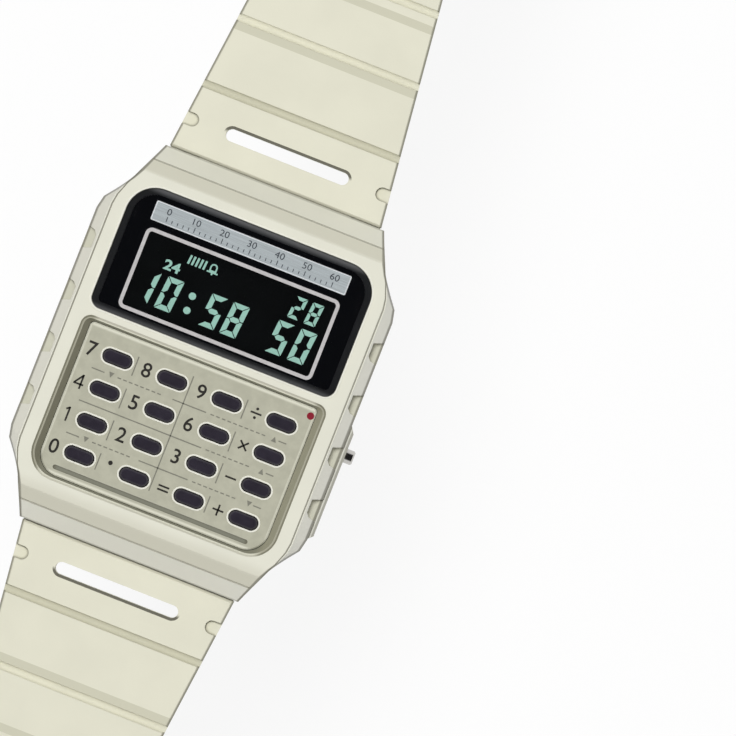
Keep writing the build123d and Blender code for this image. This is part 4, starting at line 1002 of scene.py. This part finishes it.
class WATCH_OT_display(Dresser, bpy.types.Operator):
    """Dresses the display cell and draws its lit figures and marks"""

    bl_idname = "watch.display"
    bl_label = "Display"

    slant_share = 0.09
    # The left end of each large and small figure along the display, and their widths, in mm
    large = (("1", -10.15), ("0", -7.5), ("5", -2.4), ("8", 0.1), ("5", 5.35), ("0", 7.95))
    large_width = 1.85
    large_low = 4.8
    small = (("2", 6.3), ("8", 8.2))
    small_width = 1.3
    small_low = 9.1
    colon_x = -4.0
    colon_ys = (5.75, 7.4)
    colon_radius = 0.4
    note_middle = (-7.2, 9.6)
    note_height = 1.15
    tally_xs = (-5.75, -5.31, -4.87, -4.43, -3.99)
    tally_low = 10.5
    tally_high = 11.5
    tally_stroke = 0.24
    bell_middle = (-2.95, 11.0)
    bell_size = 1.25

    def execute(self, context):
        sizes, colours = self.values(context)
        dress(dark_cell("display_ground", colours.cell), "lcd_panel")
        dress(plain_plastic("white_holder", (0.78, 0.78, 0.75), 0.5), "lcd_holder")
        layers = striped_rubber("layered_rubber", (0.62, 0.5, 0.48), (0.03, 0.03, 0.03))
        dress(layers, "zebra_strip")
        glow = lit_ink("lit_figures", colours.digits)
        top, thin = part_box("lcd_panel")[1].z, sizes.print_height
        add("display_figures", "case", "display_glass", glow, self.figures, top, thin, sizes)
        add("display_marks", "case", "display_glass", glow, self.marks, top, thin)
        return {"FINISHED"}

    def figures(self, bm, z, thin, sizes):
        """The large and small figures of the time, and the colon."""
        large = (self.large_low, self.large_width * MM, sizes.digit_height, sizes.digit_stroke)
        small = (self.small_low, self.small_width * MM, sizes.small_height, sizes.small_stroke)
        for digits, (foot, *measures) in ((self.large, large), (self.small, small)):
            for digit, x in digits:
                low = (x * MM, foot * MM)
                figure(bm, digit, low, *measures, sizes.segment_gap, z, thin, self.slant_share)
        for y in self.colon_ys:
            disc(bm, self.colon_x * MM, y * MM, z, self.colon_radius * MM, thin)

    def marks(self, bm, z, thin):
        """The small note over the time, a row of tally strokes, and the bell."""
        spot = [value * MM for value in self.note_middle]
        letters(bm, "24", self.note_height * MM, spot, z, thin, 0.03, 1.2)
        rise = (self.tally_high - self.tally_low) * MM
        for x in self.tally_xs:
            foot = Vector((x * MM, self.tally_low * MM))
            head = foot + Vector((rise * self.slant_share, rise))
            bar(bm, foot, head, self.tally_stroke * MM, z, thin)
        self.bell(bm, z, thin)

    def bell(self, bm, z, thin):
        """A small bell in outline, with its rim bar and clapper, in shares of its size."""
        size = self.bell_size * MM
        x, y = (value * MM for value in self.bell_middle)
        low = (x - size * 0.33, y - size * 0.3)
        high = (x + size * 0.33, y + size * 0.42)
        ring(bm, low, high, z, thin, size * 0.13, size * 0.04, size * 0.32)
        rim = y - size * 0.36
        bar(bm, (x - size * 0.5, rim), (x + size * 0.5, rim), size * 0.13, z, thin)
        disc(bm, x, y - size * 0.5, z, size * 0.09, thin, 16)


class WATCH_OT_keypad(Dresser, bpy.types.Operator):
    """Dresses the keypad panel and prints its figures, rules and red dot"""

    bl_idname = "watch.keypad"
    bl_label = "Keypad"

    # Rules between the rows, in mm: each row's height, the ends of its whole stretches, the ends
    # of its broken stretches, and the small arrows, which point up the keypad or down it
    across = (
        (-3.75, ((-11.3, -9.8), (-1.9, 2.0), (10.4, 11.3)), ((-8.3, -2.4), (2.5, 9.2)),
         ((-9.05, -1), (9.9, 1))),
        (-7.5, ((-11.3, 2.9), (10.4, 11.3)), ((3.4, 9.2),), ((9.9, 1),)),
        (-11.25, ((-11.3, -9.8), (-2.9, 2.8), (10.4, 11.3)), ((-8.3, -3.4), (3.3, 9.2)),
         ((-9.05, -1), (9.9, -1))),
    )
    dash = 0.42
    dash_pitch = 0.66
    # Rules between the columns, in mm: x, and the ends of each stretch
    by_row = ((-0.8, -3.0), (-4.5, -6.8), (-8.2, -10.5), (-12.0, -13.9))
    upright = ((-6.95, by_row), (-0.68, ((-0.6, -13.9),)), (5.72, by_row))
    arrow_half = 0.3
    # The figures set in plain type, and the signs and figures drawn as strokes. The strokes, and
    # the dots after them, are in halves of a sign's width
    typed = "02356789"
    level = (-1, 0, 1, 0)
    drawn = {
        "divide": ((level,), ((0, 0.8), (0, -0.8))),
        "times": (((-0.75, -0.75, 0.75, 0.75), (-0.75, 0.75, 0.75, -0.75)), ()),
        "minus": ((level,), ()),
        "plus": ((level, (0, -1, 0, 1)), ()),
        "equals": (((-1, 0.35, 1, 0.35), (-1, -0.35, 1, -0.35)), ()),
        "1": (((0.2, -1.3, 0.2, 1.3), (0.2, 1.2, -0.35, 0.75)), ()),
        "4": (((0.4, -1.3, 0.4, 1.3), (0.4, 1.2, -0.8, -0.5), (-0.9, -0.5, 0.9, -0.5)), ()),
    }
    sign_half = 0.625 * MM
    point = Vector((0.02 * MM, 0.5 * MM))
    point_radius = 0.25 * MM
    dot = (12.64 * MM, 0.03 * MM)
    # How far a key's hidden flange stands out from the key
    flange = 0.3 * MM

    def execute(self, context):
        sizes, colours = self.values(context)
        dress(panel_resin("panel_resin", sizes, colours), "keypad_panel")
        dress(rubber("grey_membrane", (0.2, 0.2, 0.2)), "keypad_membrane")
        face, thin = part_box("keypad_panel")[1].z, sizes.print_height
        pieces = (
            ("key_legends", ink("dark_legend", colours.legend), self.legends, face, sizes),
            ("keypad_rules", ink("grey_rule", colours.rule), self.rules, face, sizes),
            ("key_hole_lips", resin("pale_lip", colours.lip, 0.3), self.lips, face, sizes),
            ("mode_dot", ink("red_ink", colours.mode_dot, 0.35), disc, *self.dot, face,
             sizes.dot_radius, thin),
        )
        for name, finish, build, *details in pieces:
            add(name, "case", "panel_resin", finish, build, *details)
        return {"FINISHED"}

    def legends(self, bm, z, sizes):
        """The ten figures, the arithmetic signs and the point."""
        thin, width, half = sizes.print_height, sizes.legend_stroke, self.sign_half

        def beside(key):
            low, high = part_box(f"key_{key}")
            return Vector(((low.x + high.x) / 2 - sizes.legend_gap, (low.y + high.y) / 2))
        for digit in self.typed:
            letters(bm, digit, sizes.legend_height, beside(digit), z, thin, 0.01, 1.0)
        for key, (strokes, dots) in self.drawn.items():
            for stroke in strokes:
                ends = [beside(key) + Vector(end) * half for end in (stroke[:2], stroke[2:])]
                bar(bm, *ends, width, z, thin)
            for dot in dots:
                disc(bm, *(beside(key) + Vector(dot) * half), z, width * 0.8, thin, 16)
        disc(bm, *(beside("point") + self.point), z, self.point_radius, thin, 24)

    def rules(self, bm, z, sizes):
        """The rules between the rows, whole and broken, their arrows, and the upright rules."""
        thin, width = sizes.print_height, sizes.rule_width
        for y, stretches, broken, arrows in self.across:
            dashes = list(stretches)
            for start, end in broken:
                count = int((end - start) / self.dash_pitch)
                starts = [start + self.dash_pitch * index for index in range(count)]
                dashes += [(x, x + self.dash) for x in starts]
            for start, end in dashes:
                bar(bm, (start * MM, y * MM), (end * MM, y * MM), width, z, thin)
            for x, way in arrows:
                half = self.arrow_half
                tip = half * way
                corners = ((x - half, y - tip), (x + half, y - tip), (x, y + tip))
                plate(bm, [(at * MM, up * MM) for at, up in corners], z, thin)
        for x, stretches in self.upright:
            for start, end in stretches:
                bar(bm, (x * MM, start * MM), (x * MM, end * MM), width, z, thin)

    def lips(self, bm, z, sizes):
        """A raised lip round each key hole, pale as a painted highlight."""
        for name in keys:
            low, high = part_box(name)
            spread = sizes.key_gap + sizes.key_lip - self.flange
            reach = Vector((spread, spread, 0))
            # A hair under half the height, so that the rounds of two corners don't meet
            radius = ((high.y - low.y) / 2 + spread) * 0.999
            lip(bm, low - reach, high + reach, z, sizes.lip_height, sizes.key_lip, radius)


class WATCH_OT_keys(Dresser, bpy.types.Operator):
    """Gives the sixteen keys their dark rubber"""

    bl_idname = "watch.keys"
    bl_label = "Keys"

    def execute(self, context):
        dress(rubber("key_rubber", context.scene.watch_colours.key, 0.45), *keys)
        return {"FINISHED"}


class WATCH_OT_pushers(Dresser, bpy.types.Operator):
    """Gives the two pushers and their clips, springs and seals their finishes"""

    bl_idname = "watch.pushers"
    bl_label = "Pushers"

    def execute(self, context):
        steel = context.scene.watch_colours.steel
        springy = brushed("spring_steel", steel, 0.3)
        dress(polished("pusher_steel", steel), "mode_pusher", "adjust_pusher")
        dress(springy, "mode_pusher_clip", "adjust_pusher_clip", "pusher_springs")
        dress(rubber("black_rubber", (0.02, 0.02, 0.02)), "pusher_seals")
        return {"FINISHED"}


class WATCH_OT_strap(Dresser, bpy.types.Operator):
    """Gives both strap halves and the keeper their moulded resin"""

    bl_idname = "watch.strap"
    bl_label = "Strap"

    # Each half with its body, its way along Y, and the level of its top beyond its taper
    halves = (
        ("strap_buckle_half", "buckle_strap", 1, 3.3 * MM),
        ("strap_hole_half", "hole_strap", -1, 2.2 * MM),
    )
    # A lip at each shoulder that closes the gap to the lug and clears it as the strap swings
    lip_x = (8.85 * MM, 12.2 * MM)
    lip_y = 21.71 * MM
    lip_width = 0.18 * MM
    lip_z = 2.3 * MM
    lip_height = 0.45 * MM

    def execute(self, context):
        sizes, colours = self.values(context)
        for half, body, way, end_top in self.halves:
            finish = strap_resin(f"{half}_resin", sizes, colours, end_top)
            dress(finish, half)
            add(f"{half}_root_lip", body, "strap_resin", finish, self.root_lips, way)
        keeper = resin("keeper_resin", colours.strap, 0.45)
        # Painted shade in the keeper's creases
        keeper.creases(colours.crease)
        dress(keeper, "strap_keeper")
        return {"FINISHED"}

    def root_lips(self, bm, way):
        """The lips at one half's two shoulders."""
        for side in (1, -1):
            ends = [(side * x, way * self.lip_y) for x in self.lip_x]
            bar(bm, *ends, self.lip_width, self.lip_z, self.lip_height)


class WATCH_OT_buckle(Dresser, bpy.types.Operator):
    """Gives the buckle, its pin and tongue, and the spring bars their steel"""

    bl_idname = "watch.buckle"
    bl_label = "Buckle and spring bars"

    def execute(self, context):
        steel = context.scene.watch_colours.steel
        satin = brushed("buckle_steel", steel, 0.34, metallic=0.45)
        dress(satin, "buckle_frame", "buckle_tongue")
        dress(polished("pin_steel", steel), "buckle_pin", "spring_bar_tubes")
        tips = [f"{end}_bar_tip_{side}" for end in ("upper", "lower") for side in ("right", "left")]
        dress(polished("tip_steel", steel, 0.2), *tips)
        dress(brushed("bar_spring_steel", steel, 0.3), "spring_bar_springs")
        return {"FINISHED"}


class WATCH_OT_back(Dresser, bpy.types.Operator):
    """Gives the case back its straight brushing, and dresses its screws and gasket"""

    bl_idname = "watch.back"
    bl_label = "Case back"

    def execute(self, context):
        steel = context.scene.watch_colours.steel
        dress(brushed("brushed_back", steel, 0.3, (1, 60, 60)), "case_back")
        # The screws' dark crease colour paints shade into their slots
        dress(polished("screw_steel", steel, 0.16, (0.03, 0.03, 0.03)), "case_back_screws")
        dress(rubber("gasket_rubber", (0.02, 0.02, 0.02)), "case_back_gasket")
        return {"FINISHED"}


class WATCH_OT_module(Dresser, bpy.types.Operator):
    """Dresses the movement module, its board, battery and buzzer"""

    bl_idname = "watch.module"
    bl_label = "Module"

    def execute(self, context):
        colours = context.scene.watch_colours
        steel, brass = colours.steel, colours.brass
        dress(plain_plastic("black_housing", (0.035, 0.035, 0.04), 0.5), "module_housing")
        dress(lacquered_board("green_board", colours.board, (0.09, 0.22, 0.08)), "circuit_board")
        dress(plain_plastic("chip_resin", (0.02, 0.02, 0.022), 0.4), "main_chip")
        cans = polished("can_steel", steel, 0.2)
        dress(cans, "quartz_crystal_can", "battery_clip", "module_screws")
        dress(plain_plastic("brown_ceramic", (0.3, 0.18, 0.09), 0.35), "chip_capacitors")
        dress(brushed("battery_steel", steel, 0.24), "battery")
        dress(brushed("contact_brass", brass, 0.3), "switch_contacts", "piezo_disc")
        dress(polished("buzzer_spring_brass", brass, 0.2), "buzzer_spring")
        return {"FINISHED"}


class WATCH_PT_panel(bpy.types.Panel):
    """Lists the watch's pieces and its sizes and colours"""

    bl_idname = "WATCH_PT_panel"
    bl_label = "Calculator watch"
    bl_space_type = "VIEW_3D"
    bl_region_type = "UI"
    bl_category = "Watch"

    def draw(self, context):
        for operator in OPERATORS:
            self.layout.operator(operator.bl_idname)
        for group in (context.scene.watch_sizes, context.scene.watch_colours):
            box = self.layout.box()
            for name in group.__annotations__:
                box.prop(group, name)


# In the order in which they are written and run
OPERATORS = tuple(Dresser.__subclasses__())
CLASSES = (WatchSizes, WatchColours, *OPERATORS, WATCH_PT_panel)


def register():
    for cls in CLASSES:
        bpy.utils.register_class(cls)
    bpy.types.Scene.watch_sizes = PointerProperty(type=WatchSizes)
    bpy.types.Scene.watch_colours = PointerProperty(type=WatchColours)


def unregister():
    del bpy.types.Scene.watch_colours
    del bpy.types.Scene.watch_sizes
    for cls in reversed(CLASSES):
        bpy.utils.unregister_class(cls)


def main():
    register()
    for operator in OPERATORS:
        group, name = operator.bl_idname.split(".")
        getattr(getattr(bpy.ops, group), name)()


if __name__ == "__main__":
    main()
